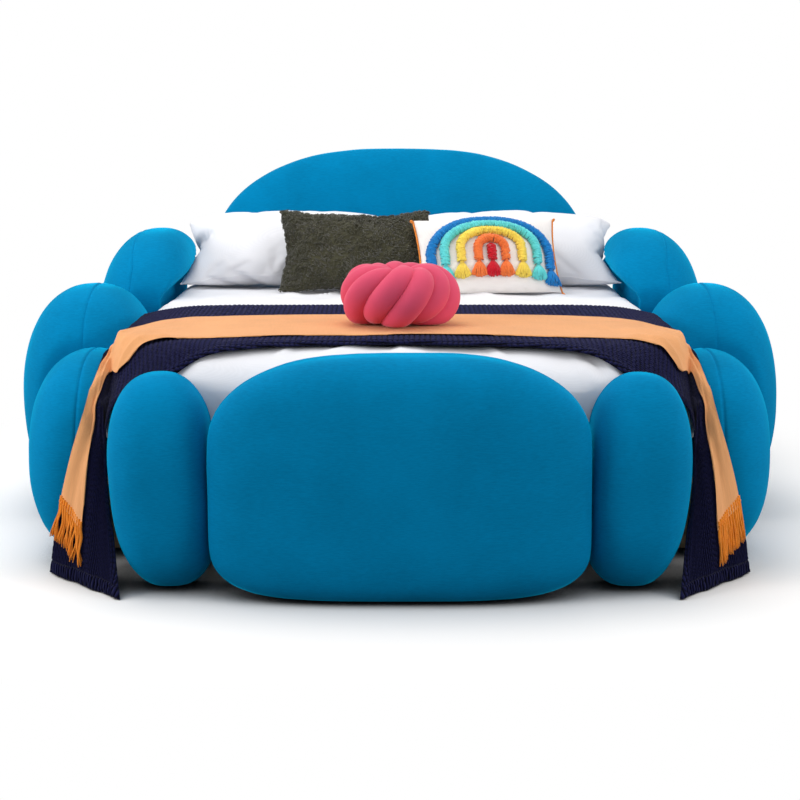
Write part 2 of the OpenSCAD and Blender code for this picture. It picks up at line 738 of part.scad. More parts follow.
// The arches from the outside in: reach to either side, height of the top, and of the legs' ends.
// The innermost is a single upright bar.
arch_r = 13;
arch_ends = [[-38, 196, 133], [-20, 152, 116], [-8, 99, 92], [-6, 44, 66]];
bar_ends = [-4, 46];
arch_colours = [
    [0.08, 0.47, 0.75], [0.25, 0.72, 0.69], [0.97, 0.78, 0.23], [0.96, 0.48, 0.23], [0.78, 0.06, 0.18]
];
// Distances from the true surface that put each one against the cushion's facets
arch_seats = [0.8, 0.5, 0.2, -0.7];
bar_seat = 0.1;
tassel_seats = [-0.7, -0.6, -0.4, -0.8, -0.5];
arch_rise = 24;
// Point at a distance from the cushion's front
function on_cushion(x, y, r) =
    let (
        h = 0.5,
        slope_x = (rainbow_height(x + h, y) - rainbow_height(x - h, y)) / (2 * h),
        slope_y = (rainbow_height(x, y + h) - rainbow_height(x, y - h)) / (2 * h)
    )
    [x, y, rainbow_height(x, y)] + r * unit([-slope_x, -slope_y, 1]);
// Route of an arch: straight legs, then half an ellipse
function arch_route(a, seat) = concat(
    [for (y = [a[0], a[0] + arch_rise / 2]) on_cushion(-a[1], y, arch_r + seat)],
    [for (t = [180:-15:0]) on_cushion(
        a[1] * cos(t),
        a[0] + arch_rise + (a[2] - a[0] - arch_rise) * sin(t),
        arch_r + seat
    )],
    [for (y = [a[0] + arch_rise / 2, a[0]]) on_cushion(a[1], y, arch_r + seat)]
);
module rainbow_arches_solid() {
    for (i = [0:3]) color(arch_colours[i]) rainbow_place() tube(arch_route(arch_ends[i], arch_seats[i]), arch_r);
    color(arch_colours[4]) rainbow_place()
        tube([for (y = [bar_ends[0], 14, 30, bar_ends[1]]) on_cushion(0, y, arch_r + bar_seat)], arch_r, 8, [0, 0, 1]);
}
tassel_r = 9;
tassel_l = 42;
module tassel(x, y, seat) {
    translate(on_cushion(x, y, tassel_r + seat)) {
        sphere(r = tassel_r, $fn = 24);
        rotate([84, 0, 0]) cylinder(h = tassel_l, r1 = tassel_r * 0.6, r2 = tassel_r * 1.3);
    }
}
module rainbow_tassels_solid() {
    rainbow_place() {
        for (i = [0:3], side = [-1, 1])
            color(arch_colours[i]) tassel(side * arch_ends[i][1], arch_ends[i][0] - tassel_r - 3, tassel_seats[i]);
        color(arch_colours[4]) tassel(0, bar_ends[0] - tassel_r - 3, tassel_seats[4]);
    }
}
piping_r = 3.5;
module rainbow_piping_solid() {
    color(ORANGE) rainbow_place() for (side = [-1, 1])
        tube([for (i = [0:8])
            let (v = -0.9 + 1.8 * i / 8, p = drawn(1, v, rainbow_w, rainbow_d, rainbow_draw))
            [side * (p[0] + piping_r + lay_gap), p[1], 0]], piping_r);
}

// The knot is one fat tube that runs three times round a ring while it winds ten times
// through it. Its skin is the outermost of the tube's surfaces along each ray.
knot_x = -5;
knot_y = front_y + 750;
knot_z = duvet_top + knit_t + throw_t + 3 * lay_gap;
knot_rounds = 3;
knot_winds = 10;
knot_steps = 160;
knot_swing = (knot_h - knot_tube) / 2 + 3;
knot_mid = knot_r - knot_swing - knot_tube / 2;
function knot_path(t) =
    let (a = knot_winds * t, b = knot_rounds * t, r = knot_mid + knot_swing * cos(a))
    [r * cos(b), r * sin(b), knot_swing * sin(a)];
knot_points = [for (i = [0:knot_steps - 1]) knot_path(360 * i / knot_steps)];
function knot_reach(d) = max([for (c = knot_points)
    let (a = c * d, h = knot_tube * knot_tube / 4 - c * c + a * a)
    h > 0 ? a + sqrt(h) : 20]);
module knot_solid() {
    columns = 44;
    levels = 15;
    low = 3 - knot_h / 2;
    rings = [for (i = [1:levels])
        let (f = -90 + 180 * i / (levels + 1))
        [for (j = [0:columns - 1])
            let (t = 360 * j / columns, d = [cos(f) * cos(t), cos(f) * sin(t), sin(f)])
            d * knot_reach(d)]];
    color([0.82, 0.31, 0.42]) rest_on(knot_z) translate([knot_x, knot_y, knot_z - low])
        stack([0, 0, -knot_reach([0, 0, -1])], rings, [0, 0, knot_reach([0, 0, 1])]);
}

// Blanket and throw

// Smooth curve through a list of points, one unit of t for each
function curve(points, t) =
    let (
        last = len(points) - 1,
        i = clamp(floor(t), 0, last - 1),
        f = t - i,
        p0 = points[max(i - 1, 0)], p1 = points[i], p2 = points[i + 1], p3 = points[min(i + 2, last)]
    )
    p1 + 0.5 * f * ((p2 - p0) + f * ((2 * p0 - 5 * p1 + 4 * p2 - p3) + f * (3 * (p1 - p2) + p3 - p0)));

// The blanket's two edges on the right-hand side, from the middle of the bed over the
// corner of the mattress, down between the foot corner pad and the front side pad.
notch_y = side_front[1] - side_front[3];
near_edge = [
    [0, foot_y + 135, 623], [350, foot_y + 100, 623], [600, foot_y + 15, 573],
    [inner_x - 68, foot_y + 12, 463], [inner_x - 30, foot_y + 8, 438], [inner_x - 10, foot_y - 4, 372],
    [inner_x - 10, foot_y - 28, 280], [inner_x - 18, foot_y - 62, 192], [inner_x - 38, foot_y - 120, 97],
    [inner_x - 70, foot_y - 198, 3]
];
far_edge = [
    [0, foot_y + 987, 623], [350, foot_y + 984, 623], [600, foot_y + 965, 583],
    [inner_x - 55, foot_y + 885, 568], [inner_x - 10, foot_y + 700, 543], [inner_x + 15, foot_y + 470, 513],
    [inner_x + 32, foot_y + 240, 490], [inner_x + 40, notch_y + 10, 425], [inner_x + 88, notch_y - 22, 262],
    [inner_x + 148, notch_y - 4, 3]
];
sheet_last = len(near_edge) - 1;
sheet_rows = 24;
pad_room = knit_t / 2 + 13;
// The blanket bridges the duvet's falling shoulders, by this share of their fall
shoulder_lift = 0.3;
shoulder_room = 19;
fall_r = 20;
edge_x = inner_x - 5;
edge_y = room_l / 2 - 5;
// Height of the blanket's middle over the duvet, rounded off outside the mattress's edge
function on_duvet(x, y) =
    let (
        z = duvet_height(min(x, edge_x), max(y, mattress_y - edge_y)),
        out = max(0, -inside(x, y - mattress_y, edge_x, edge_y, mattress_corner)),
        fall = out < fall_r ? fall_r - sqrt(fall_r * fall_r - out * out) : fall_r + 20 * (out - fall_r)
    )
    z + lay_gap + knit_t / 2 + min(shoulder_room, shoulder_lift * (duvet_top - z) + 5 * smooth((duvet_top - z) / 4)) - fall;
function clear_of_pads(p) =
    let (
        a = clear_of(side_front, p, pad_room),
        b = clear_of(side_middle, a, pad_room)
    )
    mix(b, clear_of(foot_corner, b, pad_room), smooth((foot_y + 14 - b[1]) / 14));
// Middle of the blanket: s from 0 at the bed's middle to its last station, v from near to far edge
function blanket_point(s, v) =
    let (
        near = curve(near_edge, s),
        far = curve(far_edge, s),
        swell = mix(1, 0.6, smooth((s - 3) / 1.5) * (1 - smooth((s - 5.2) / 1.6))),
        raw = [mix(near[0], far[0], v), mix(near[1], far[1], v), mix(near[2], far[2], pow(v, swell))],
        lifted = [raw[0], raw[1], max(s < 2.6 ? 0 : raw[2], on_duvet(raw[0], raw[1]))]
    )
    clear_of_pads(lifted);
function side_point(side, p) = side < 0 ? [-p[0], p[1], p[2]] : p;

// Closed sheet: rows of upper and lower points
module sheet(upper, lower) {
    rows = len(upper);
    cols = len(upper[0]);
    n = rows * cols;
    points = concat([for (r = upper, p = r) p], [for (r = lower, p = r) p]);
    faces = concat(
        [for (i = [0:rows - 2], j = [0:cols - 2], half = [0, 1])
            let (a = i * cols + j) half == 0 ? [a, a + cols + 1, a + cols] : [a, a + 1, a + cols + 1]],
        [for (i = [0:rows - 2], j = [0:cols - 2], half = [0, 1])
            let (a = n + i * cols + j) half == 0 ? [a, a + cols, a + cols + 1] : [a, a + cols + 1, a + 1]],
        [for (i = [0:rows - 2], end = [0, 1], half = [0, 1])
            let (a = i * cols + end * (cols - 1), b = a + cols)
            end == 0 ? (half == 0 ? [a, b, b + n] : [a, b + n, a + n])
                     : (half == 0 ? [a, b + n, b] : [a, a + n, b + n])],
        [for (j = [0:cols - 2], end = [0, 1], half = [0, 1])
            let (a = end * (rows - 1) * cols + j, b = a + 1)
            end == 0 ? (half == 0 ? [a, b + n, b] : [a, a + n, b + n])
                     : (half == 0 ? [a, b, b + n] : [a, b + n, a + n])]
    );
    polyhedron(points, faces);
}
// The throw's rows and columns lie over the blanket's, and it ends two rows earlier
throw_rows = sheet_rows - 2;
throw_end = sheet_last * throw_rows / sheet_rows;
throw_cols = 5;
function throw_near(s) = mix(0.14, 0.66, smooth((s - 2) / 6));
function throw_far(s) = mix(0.66, 0.975, smooth((s - 2) / 4));
function throw_v(s, k) = mix(throw_near(s), throw_far(s), k);
function blanket_vs(s) = let (a = throw_near(s), b = throw_far(s)) concat(
    [0, a * 0.35, a * 0.7],
    [for (k = [0:throw_cols - 1]) throw_v(s, k / (throw_cols - 1))],
    [(1 + b) / 2, 1]
);
draped_grid = [for (i = [0:sheet_rows])
    let (s = sheet_last * i / sheet_rows)
    [for (v = blanket_vs(s)) blanket_point(s, v)]];
grid_cols = len(draped_grid[0]);
// Evens the grid out once, and lays it over the bed and the pads again
function eased(i, j) =
    let (
        g = draped_grid,
        p = g[i][j],
        along = (g[i - 1][j] + g[i + 1][j]) / 2,
        wide = j == 0 || j == grid_cols - 1 ? p : (g[i][j - 1] + g[i][j + 1]) / 2,
        q = 0.4 * p + 0.3 * along + 0.3 * wide
    )
    clear_of_pads([q[0], q[1], max(q[2], on_duvet(q[0], q[1]))]);
blanket_grid = [for (i = [0:sheet_rows])
    [for (j = [0:grid_cols - 1]) i < 7 || i == sheet_rows ? draped_grid[i][j] : eased(i, j)]];
// Direction in which the layers lie over each other: up on the bed, outwards where they hang
layer_tilts = [0, 2, 12, 24, 20, 10, 24, 58, 78, 88];
function layer_way(i) =
    let (
        s = sheet_last * i / sheet_rows,
        tilt = curve(layer_tilts, s),
        heading = mix(-12, -52, smooth((s - 4) / 3))
    )
    [sin(tilt) * cos(heading), sin(tilt) * sin(heading), cos(tilt)];
// The throw's distance over the blanket, and what is added where both bend
throw_low = knit_t / 2 + lay_gap;
fold_room = 9;
function grid_rows(count, from, to, up) = [for (k = [-count:count])
    let (
        i = abs(k),
        room = up > throw_low - 1 ? fold_room * smooth((i - 4) / 3) : 0,
        move = (up + room) * layer_way(i)
    )
    [for (j = [from:to]) side_point(k < 0 ? -1 : 1, blanket_grid[i][j] + move)]];
module knitted_blanket_solid() {
    last = grid_cols - 1;
    color(NAVY) sheet(
        grid_rows(sheet_rows, 0, last, knit_t / 2),
        grid_rows(sheet_rows, 0, last, -knit_t / 2)
    );
}
throw_first = 3;
module woven_throw_solid() {
    last = throw_first + throw_cols - 1;
    color(ORANGE) sheet(
        grid_rows(throw_rows, throw_first, last, throw_low + throw_t),
        grid_rows(throw_rows, throw_first, last, throw_low)
    );
}
strand_r = 3;
strand_count = 11;
strand_gap = 1.6;
strand_up = throw_low + fold_room + throw_t / 2;
// Point over a row of the grid, at a share of the throw's width
function over_row(i, k, up) =
    let (
        c = throw_first + k * (throw_cols - 1),
        j = floor(c),
        place = mix(blanket_grid[i][j], blanket_grid[i][j + 1], c - j)
    )
    place + up * layer_way(i);
module fringe_solid() {
    color([0.88, 0.47, 0.12]) for (i = [0:strand_count - 1]) {
        k = (i + 0.5) / strand_count;
        start = over_row(throw_rows, k, strand_up + 1);
        step = unit(over_row(throw_rows + 1, k, strand_up + 4) - start);
        rod(start + step * strand_gap, start + step * fringe_l, strand_r);
    }
}

foot_centre_solid();  // foot_centre_pad
at_left() foot_corner_solid();  // foot_left_pad
foot_corner_solid();  // foot_right_pad
at_left() side_front_solid();  // left_front_pad
at_left() side_middle_solid();  // left_middle_pad
at_left() side_rear_solid();  // left_rear_pad
side_front_solid();  // right_front_pad
side_middle_solid();  // right_middle_pad
side_rear_solid();  // right_rear_pad
headboard_solid();  // headboard_pad
on_foot(0) core_solid(foot_core);  // foot_centre_core
at_left() on_foot(foot_corner[0]) core_solid(corner_core);  // foot_left_core
on_foot(foot_corner[0]) core_solid(corner_core);  // foot_right_core
at_left() on_side(side_front) core_solid(front_core);  // left_front_core
at_left() on_side(side_middle) core_solid(middle_core);  // left_middle_core
at_left() on_side(side_rear) core_solid(rear_core);  // left_rear_core
on_side(side_front) core_solid(front_core);  // right_front_core
on_side(side_middle) core_solid(middle_core);  // right_middle_core
on_side(side_rear) core_solid(rear_core);  // right_rear_core
on_head() core_solid(head_core);  // headboard_core
at_left() side_rail_solid();  // left_side_rail
side_rail_solid();  // right_side_rail
translate([0, head_y, 0]) rotate([0, 0, 90]) end_rail(bolt_ys(head_core));  // head_rail
translate([0, foot_y, 0]) rotate([0, 0, -90]) end_rail(foot_bolt_xs);  // foot_rail
centre_rail_solid();  // centre_rail
at_left() ledge_solid();  // left_slat_ledge
ledge_solid();  // right_slat_ledge
at_left() slats_solid();  // left_slats
slats_solid();  // right_slats
at_left() side_holders_solid();  // left_slat_holders
centre_holders_solid();  // centre_slat_holders
side_holders_solid();  // right_slat_holders
centre_legs_solid();  // centre_legs
centre_leg_feet_solid();  // centre_leg_feet
corner_brackets_solid();  // corner_brackets
corner_bolts_solid();  // corner_bolts
hangers_solid();  // centre_rail_hangers
color(STEEL) at_pad_bolts() pad_bolt();  // pod_bolts
color(STEEL) at_pad_bolts() tee_nut();  // tee_nuts
floor_glides_solid();  // floor_glides
mattress_solid();  // mattress
duvet_solid();  // duvet
at_left() pillow_solid();  // left_pillow
pillow_solid();  // right_pillow
fur_cushion_solid();  // fur_cushion
rainbow_cushion_solid();  // rainbow_cushion
rainbow_arches_solid();  // rainbow_arches
rainbow_tassels_solid();  // rainbow_tassels
rainbow_piping_solid();  // rainbow_piping
knot_solid();  // knot_cushion
knitted_blanket_solid();  // knitted_blanket
woven_throw_solid();  // woven_throw
at_left() fringe_solid();  // left_fringe
fringe_solid();  // right_fringe
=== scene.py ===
import math
from collections import namedtuple

import bpy
import numpy as np
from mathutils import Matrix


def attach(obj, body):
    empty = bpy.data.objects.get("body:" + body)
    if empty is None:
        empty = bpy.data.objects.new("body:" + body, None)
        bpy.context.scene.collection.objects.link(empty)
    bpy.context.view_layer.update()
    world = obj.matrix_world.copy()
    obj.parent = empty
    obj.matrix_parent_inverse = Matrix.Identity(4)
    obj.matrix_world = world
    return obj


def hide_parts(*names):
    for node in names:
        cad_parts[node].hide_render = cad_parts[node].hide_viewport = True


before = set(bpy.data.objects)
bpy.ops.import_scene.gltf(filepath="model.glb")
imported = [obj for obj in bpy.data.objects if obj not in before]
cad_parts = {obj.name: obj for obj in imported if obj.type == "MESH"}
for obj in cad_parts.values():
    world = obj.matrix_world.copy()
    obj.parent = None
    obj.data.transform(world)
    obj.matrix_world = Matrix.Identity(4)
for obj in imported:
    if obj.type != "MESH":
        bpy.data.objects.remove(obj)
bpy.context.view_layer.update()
MM = 0.001
SIDES = ((-1, "left"), (1, "right"))

# Sizes shared with the solids

MATTRESS_W, MATTRESS_L, MATTRESS_H = 1500, 2000, 205
TUCK = 10
FOOT_DEPTH, HEAD_DEPTH = 290, 190
INNER_X = MATTRESS_W / 2 + TUCK
BED_L = FOOT_DEPTH + HEAD_DEPTH + MATTRESS_L + 2 * TUCK
FRONT_Y = -BED_L / 2
FOOT_Y = FRONT_Y + FOOT_DEPTH
HEAD_Y = BED_L / 2 - HEAD_DEPTH
ROOM_L = HEAD_Y - FOOT_Y
MATTRESS_Y = (FOOT_Y + HEAD_Y) / 2
MATTRESS_Z = 255.3
MATTRESS_TOP = MATTRESS_Z + MATTRESS_H
MATTRESS_EDGE, MATTRESS_CORNER = 60, 100
DUVET_TOP, SKIRT_Z = 580, 353
SOLE_Z, SOLE_CUT = 6, 8
LAY_GAP = 0.5
KNIT_T, THROW_T = 14, 5


# Arithmetic

def power(v, e):
    return np.sign(v) * np.abs(v) ** e


def mix(a, b, t):
    return a + (b - a) * t


def smooth(t):
    t = np.clip(t, 0, 1)
    return t * t * (3 - 2 * t)


def soft_above(v, low, r):
    """Keeps v above a limit, with a rounded change of about r."""
    d = v - low
    return low + (d + np.sqrt(d * d + r * r)) / 2


def soft_below(v, high, r):
    return -soft_above(-v, -high, r)


def rotated(p, axis, degrees):
    """Points turned about one of the axes, 0 to 2."""
    a, b = (axis + 1) % 3, (axis + 2) % 3
    c, s = math.cos(math.radians(degrees)), math.sin(math.radians(degrees))
    q = p.copy()
    q[..., a] = c * p[..., a] - s * p[..., b]
    q[..., b] = s * p[..., a] + c * p[..., b]
    return q


def lattice(i, seed):
    n = (i[..., 0] * 73856093) ^ (i[..., 1] * 19349663) ^ (i[..., 2] * 83492791) ^ (seed * 7919 + 17)
    n = (n ^ (n >> 13)) * 1274126177 & 0x7FFFFFFF
    return ((n ^ (n >> 16)) & 0xFFFF) / 32767.5 - 1


def noise(p, size, seed=0):
    """Smooth noise from -1 to 1 at points, with features of a size."""
    q = np.asarray(p, float) / size
    i = np.floor(q).astype(np.int64)
    f = smooth(q - i)
    total = 0
    for corner in range(8):
        o = np.array([corner & 1, corner >> 1 & 1, corner >> 2])
        w = np.prod(np.where(o, f, 1 - f), axis=-1)
        total = total + w * lattice(i + o, seed)
    return total


def fractal(p, size, octaves, seed):
    return sum(noise(p, size / 2 ** k, seed + k) / 2 ** k for k in range(octaves))


def distances(line):
    """How far each point of a line is from its start, along the line."""
    return np.concatenate([[0], np.cumsum(np.linalg.norm(np.diff(line, axis=0), axis=1))])


def spline(p0, p1, p2, p3, f):
    """Smooth curve from p1 to p2 as f goes from 0 to 1."""
    return p1 + 0.5 * f * ((p2 - p0) + f * ((2 * p0 - 5 * p1 + 4 * p2 - p3) + f * (3 * (p1 - p2) + p3 - p0)))


def curve(points, t):
    """Smooth curve through points along the first axis, one unit of t for each."""
    points, t = np.asarray(points, float), np.asarray(t, float)
    last = len(points) - 1
    i = np.clip(np.floor(t).astype(int), 0, last - 1)
    f = (t - i).reshape(t.shape + (1,) * (points.ndim - 1))
    return spline(points[np.maximum(i - 1, 0)], points[i], points[i + 1], points[np.minimum(i + 2, last)], f)


# Meshes

def mesh_object(name, points, faces):
    faces = faces.tolist() if isinstance(faces, np.ndarray) else faces
    mesh = bpy.data.meshes.new(name)
    mesh.from_pydata(np.asarray(points, float) * MM, [], faces)
    mesh.validate()
    mesh.update()
    mesh.shade_smooth()
    obj = bpy.data.objects.new(name, mesh)
    bpy.context.scene.collection.objects.link(obj)
    return obj


def finished(obj, material, body, node):
    """Gives a piece its material and body and, unless node is None, hides the imported part that it stands
    for.
    """
    obj.data.materials.append(material)
    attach(obj, body)
    if node:
        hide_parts(node)
    return obj


def normals(points, quads):
    """Unit normals at the points of a mesh of quads."""
    a, b, c, d = (points[quads[:, k]] for k in range(4))
    n = np.cross(c - a, d - b)
    out = np.zeros_like(points)
    for k in range(4):
        np.add.at(out, quads[:, k], n)
    return out / np.maximum(np.linalg.norm(out, axis=1, keepdims=True), 1e-9)


def grid_quads(rows, cols, closed=False):
    i, j = np.meshgrid(np.arange(rows - 1), np.arange(cols if closed else cols - 1), indexing="ij")
    a, b = i * cols + j, i * cols + (j + 1) % cols
    return np.stack([a, b, b + cols, a + cols], -1).reshape(-1, 4)


def ball_lines(count, seams=(), span=0):
    """Grid lines from -1 to 1, even on a ball, with close ones at each seam."""
    lines = np.tan(np.linspace(-math.pi / 4, math.pi / 4, count))
    for at in seams:
        lines = lines[np.abs(lines - at) > span * 1.6]
        lines = np.concatenate([lines, at + span * SEAM_LINES])
    return np.unique(np.round(np.clip(lines, -1, 1), 6))


def box_grid(xs, ys, zs):
    """Points and outward quads of a cube's surface, cut along three lists of lines."""
    lists = [xs, ys, zs]
    points, quads, start = [], [], 0
    for axis in range(3):
        u, v = (axis + 1) % 3, (axis + 2) % 3
        for side in (-1, 1):
            a, b = np.meshgrid(lists[u], lists[v], indexing="ij")
            p = np.zeros(a.shape + (3,))
            p[..., axis], p[..., u], p[..., v] = side, a, b
            q = grid_quads(*a.shape)
            points.append(p.reshape(-1, 3))
            quads.append((q[:, ::-1] if side > 0 else q) + start)
            start += p.size // 3
    points, quads = np.concatenate(points), np.concatenate(quads)
    _, first, back = np.unique(np.round(points, 5), axis=0, return_index=True, return_inverse=True)
    return points[first], back.reshape(-1)[quads]


def tube_points(path, radius, sides, up=(0, 0, 1), closed=False):
    """Rings of points round a path; the radius may be one value or one for each point."""
    path = np.asarray(path, float)
    if closed:
        along = np.roll(path, -1, 0) - np.roll(path, 1, 0)
    else:
        along = np.gradient(path, axis=0)
    along /= np.linalg.norm(along, axis=1, keepdims=True)
    side = np.cross(along, np.broadcast_to(up, path.shape))
    side /= np.maximum(np.linalg.norm(side, axis=1, keepdims=True), 1e-9)
    rise = np.cross(along, side)
    t = (2 * math.pi * np.arange(sides) / sides)[None, :, None]
    r = np.broadcast_to(radius, (len(path),))[:, None, None]
    return path[:, None] + r * (np.cos(t) * side[:, None] + np.sin(t) * rise[:, None])


def tube_faces(rows, sides, start=0, closed=False):
    """Quads between a tube's rings of points, and its flat ends unless it is closed."""
    faces = (grid_quads(rows, sides, True) + start).tolist()
    last = start + (rows - 1) * sides
    if closed:
        for j in range(sides):
            beside = (j + 1) % sides
            faces.append([last + j, last + beside, start + beside, start + j])
    else:
        faces.append([start + j for j in range(sides)][::-1])
        faces.append([last + j for j in range(sides)])
    return faces


class Bunch:
    """Collects many small tubes into one mesh."""

    def __init__(self):
        self.points, self.faces, self.count = [], [], 0

    def tube(self, path, radius, sides=5, up=(0, 0, 1), closed=False):
        p = tube_points(path, radius, sides, up, closed)
        self.faces += tube_faces(len(p), sides, self.count, closed)
        self.points.append(p.reshape(-1, 3))
        self.count += p.size // 3

    def made(self, name):
        return mesh_object(name, np.concatenate(self.points), self.faces)


# Materials

class Nodes:
    """Small helper for the node tree of a material or of the world."""

    def __init__(self, owner, shader="Principled BSDF"):
        self.owner = owner
        owner.use_nodes = True
        self.tree = owner.node_tree
        self.shader = self.tree.nodes[shader]

    def fill(self, node, inputs):
        """Sets a node's inputs, or links them where a value is a socket."""
        for key, value in inputs.items():
            if isinstance(value, bpy.types.NodeSocket):
                self.tree.links.new(value, node.inputs[key])
            else:
                node.inputs[key].default_value = value

    def new(self, kind, inputs, **values):
        node = self.tree.nodes.new(kind)
        for key, value in values.items():
            setattr(node, key, value)
        self.fill(node, inputs)
        return node

    def by_object(self):
        self.coords = self.new("ShaderNodeTexCoord", {}).outputs["Object"]

    def by_thread(self):
        """Uses the places across and along the cloth that its mesh keeps."""
        self.coords = self.new("ShaderNodeAttribute", {}, attribute_name="thread_place").outputs["Vector"]

    def scaled(self, scale, turn=(0, 0, 0)):
        inputs = {"Vector": self.coords, "Scale": scale, "Rotation": turn}
        return self.new("ShaderNodeMapping", inputs).outputs[0]

    def noise(self, scale, detail, rough=0.55, stretch=None):
        coords = self.scaled(stretch) if stretch else self.coords
        return self.new("ShaderNodeTexNoise", {
            "Vector": coords, "Scale": scale, "Detail": detail, "Roughness": rough}).outputs["Fac"]

    def wave(self, coords, scale, distortion, detail, detail_scale, bands):
        return self.new("ShaderNodeTexWave", {
            "Vector": coords, "Scale": scale, "Distortion": distortion, "Detail": detail,
            "Detail Scale": detail_scale}, bands_direction=bands).outputs["Fac"]

    def ramp(self, value, low, high, a=0.3, b=0.7):
        node = self.new("ShaderNodeValToRGB", {"Fac": value})
        points = node.color_ramp.elements
        points[0].position, points[1].position = a, b
        points[0].color, points[1].color = (*low, 1), (*high, 1)
        return node.outputs["Color"]

    def maths(self, operation, *values):
        return self.new("ShaderNodeMath", dict(enumerate(values)), operation=operation).outputs[0]

    def shares(self, a, share_a, b, share_b):
        """A share of one value plus a share of another."""
        return self.maths("ADD", self.maths("MULTIPLY", a, share_a), self.maths("MULTIPLY", b, share_b))

    def bump(self, height, strength, distance, under=None):
        inputs = {"Height": height, "Strength": strength, "Distance": distance}
        if under:
            inputs["Normal"] = under
        return self.new("ShaderNodeBump", inputs).outputs["Normal"]

    def done(self, colour, roughness, normal, sheen=0.0, sheen_rough=0.5, tint=(1, 1, 1), gloss=0.2,
             metallic=0.0):
        self.fill(self.shader, {
            "Base Color": colour, "Roughness": roughness, "Normal": normal, "Metallic": metallic,
            "Sheen Weight": sheen, "Sheen Roughness": sheen_rough, "Sheen Tint": (*tint, 1),
            "Specular IOR Level": gloss if sheen else 0.5})
        return self.owner


def material_nodes(name):
    n = Nodes(bpy.data.materials.new(name))
    n.by_object()
    return n


def shade(colour, k):
    return tuple(min(1.0, c * k) for c in colour)


def velvet():
    n = material_nodes("pod velvet")
    base = (0.0, 0.187, 0.392)
    nap = n.noise(1, 4, 0.6, stretch=(60, 60, 420))
    patches = n.noise(5, 3)
    fine = n.noise(900, 2)
    tone = n.shares(nap, 0.55, patches, 0.45)
    colour = n.ramp(tone, shade(base, 0.86), shade(base, 1.12), 0.36, 0.64)
    normal = n.bump(nap, 0.22, 0.0009, n.bump(fine, 0.15, 0.0003))
    return n.done(colour, 0.85, normal, 0.9, 0.3, (0.0, 0.55, 0.9), gloss=0.03)


def woven(name, base, threads=900, tone=0.1, rough=0.9, sheen=0.1, strength=0.3, patch=4, slub=0.0):
    """Plain cloth: two crossing sets of threads, soft patches and, if wanted, slubs."""
    n = material_nodes(name)
    if slub:
        n.by_thread()
    sets = (("X", 0), ("Y", math.pi / 4))
    crossing = [n.wave(n.scaled((1, 1, 1), (turn, 0, 0)), threads / WAVE_TURN, 1.5, 1, 3, bands)
                for bands, turn in sets]
    height = n.maths("ADD", *crossing)
    patches = n.noise(patch, 4)
    if slub:
        slubs = n.shares(n.noise(1, 2, 0.5, (420, 14, 1)), 0.6, n.noise(1, 2, 0.5, (14, 420, 1)), 0.4)
        height = n.maths("ADD", height, n.maths("MULTIPLY", slubs, slub))
        value = n.shares(patches, 0.35, slubs, 0.5)
    else:
        # Mostly random tone in soft patches; the threads' height adds a little painted shade, darker between
        # the threads
        value = n.shares(patches, 0.7, height, 0.15)
    colour = n.ramp(value, shade(base, 1 - tone), shade(base, 1 + tone * 0.5))
    return n.done(colour, rough, n.bump(height, strength, 0.0004), sheen)


def yarn(name, base, tone=0.3, scale=260, sheen=0.25, strength=0.6):
    """Loose spun yarn: fibres as stretched noise, with painted shade that darkens the colour in the hollows.
    """
    n = material_nodes(name)
    fibres = n.noise(scale, 5, 0.7)
    fuzz = n.noise(scale * 5, 2)
    patches = n.noise(9, 3)
    # The fibres' noise drives both the bump and the colour: the hollows get painted shade, the patches random
    # tone
    value = n.shares(fibres, 0.6, patches, 0.4)
    colour = n.ramp(value, shade(base, 1 - tone), shade(base, 1 + tone * 0.6), 0.32, 0.68)
    normal = n.bump(fibres, strength, 0.0012, n.bump(fuzz, 0.3, 0.0003))
    return n.done(colour, 0.95, normal, sheen, gloss=0.1)


def half_round(n, value, middle, r):
    off = n.maths("DIVIDE", n.maths("SUBTRACT", value, middle), r)
    return n.maths("SQRT", n.maths("MAXIMUM", n.maths("SUBTRACT", 1.0, n.maths("MULTIPLY", off, off)), 0.0))


def knit(name, base):
    """Stocking stitch at the same places as the mesh's relief, with painted light and shade: the legs painted
    lighter as if lit, the holes between them painted dark as shade.
    """
    n = material_nodes(name)
    n.by_thread()
    axes = n.new("ShaderNodeSeparateXYZ", {0: n.coords})
    wale = n.maths("FRACT", n.maths("DIVIDE", axes.outputs[0], STITCH_W * MM))
    a = n.maths("ABSOLUTE", n.maths("SUBTRACT", wale, 0.5))
    slant = n.maths("MULTIPLY", a, STITCH_SLANT)
    r = n.maths("FRACT", n.maths("ADD", n.maths("DIVIDE", axes.outputs[1], STITCH_H * MM), slant))
    bead = n.maths("ADD", n.maths("MULTIPLY", half_round(n, r, 0.5, BEAD_R), BEAD_SHARE), 1 - BEAD_SHARE)
    relief = n.maths("MULTIPLY", half_round(n, a, 0.25, LEG_R), bead)
    fibres = n.noise(500, 4, 0.7)
    # The relief sets the colour as well as the bump: painted light on the legs, painted shade in the holes
    value = n.shares(relief, 0.85, fibres, 0.3)
    colour = n.ramp(value, shade(base, 0.05), shade(base, 2.1), 0.22, 1.05)
    normal = n.bump(relief, 0.7, 0.003, n.bump(fibres, 0.5, 0.0008))
    return n.done(colour, 0.95, normal, 0.05, gloss=0.05)


def plush(name, base, tone=0.08, tint=(1, 0.75, 0.8)):
    n = material_nodes(name)
    fine = n.noise(1300, 2)
    patches = n.noise(7, 3)
    colour = n.ramp(patches, shade(base, 1 - tone), shade(base, 1 + tone))
    return n.done(colour, 0.9, n.bump(fine, 0.2, 0.0003), 0.25, 0.4, tint, 0.05)


def timber(name, base, stretch, tone):
    n = material_nodes(name)
    rings = n.wave(n.scaled(stretch), 1, 7, 3, 1.2, "DIAGONAL")
    pores = n.noise(1, 4, 0.6, tuple(6 * s for s in stretch))
    value = n.shares(rings, 0.5, pores, 0.5)
    colour = n.ramp(value, shade(base, 1 - tone), shade(base, 1.08))
    return n.done(colour, 0.6, n.bump(pores, 0.2, 0.0005))


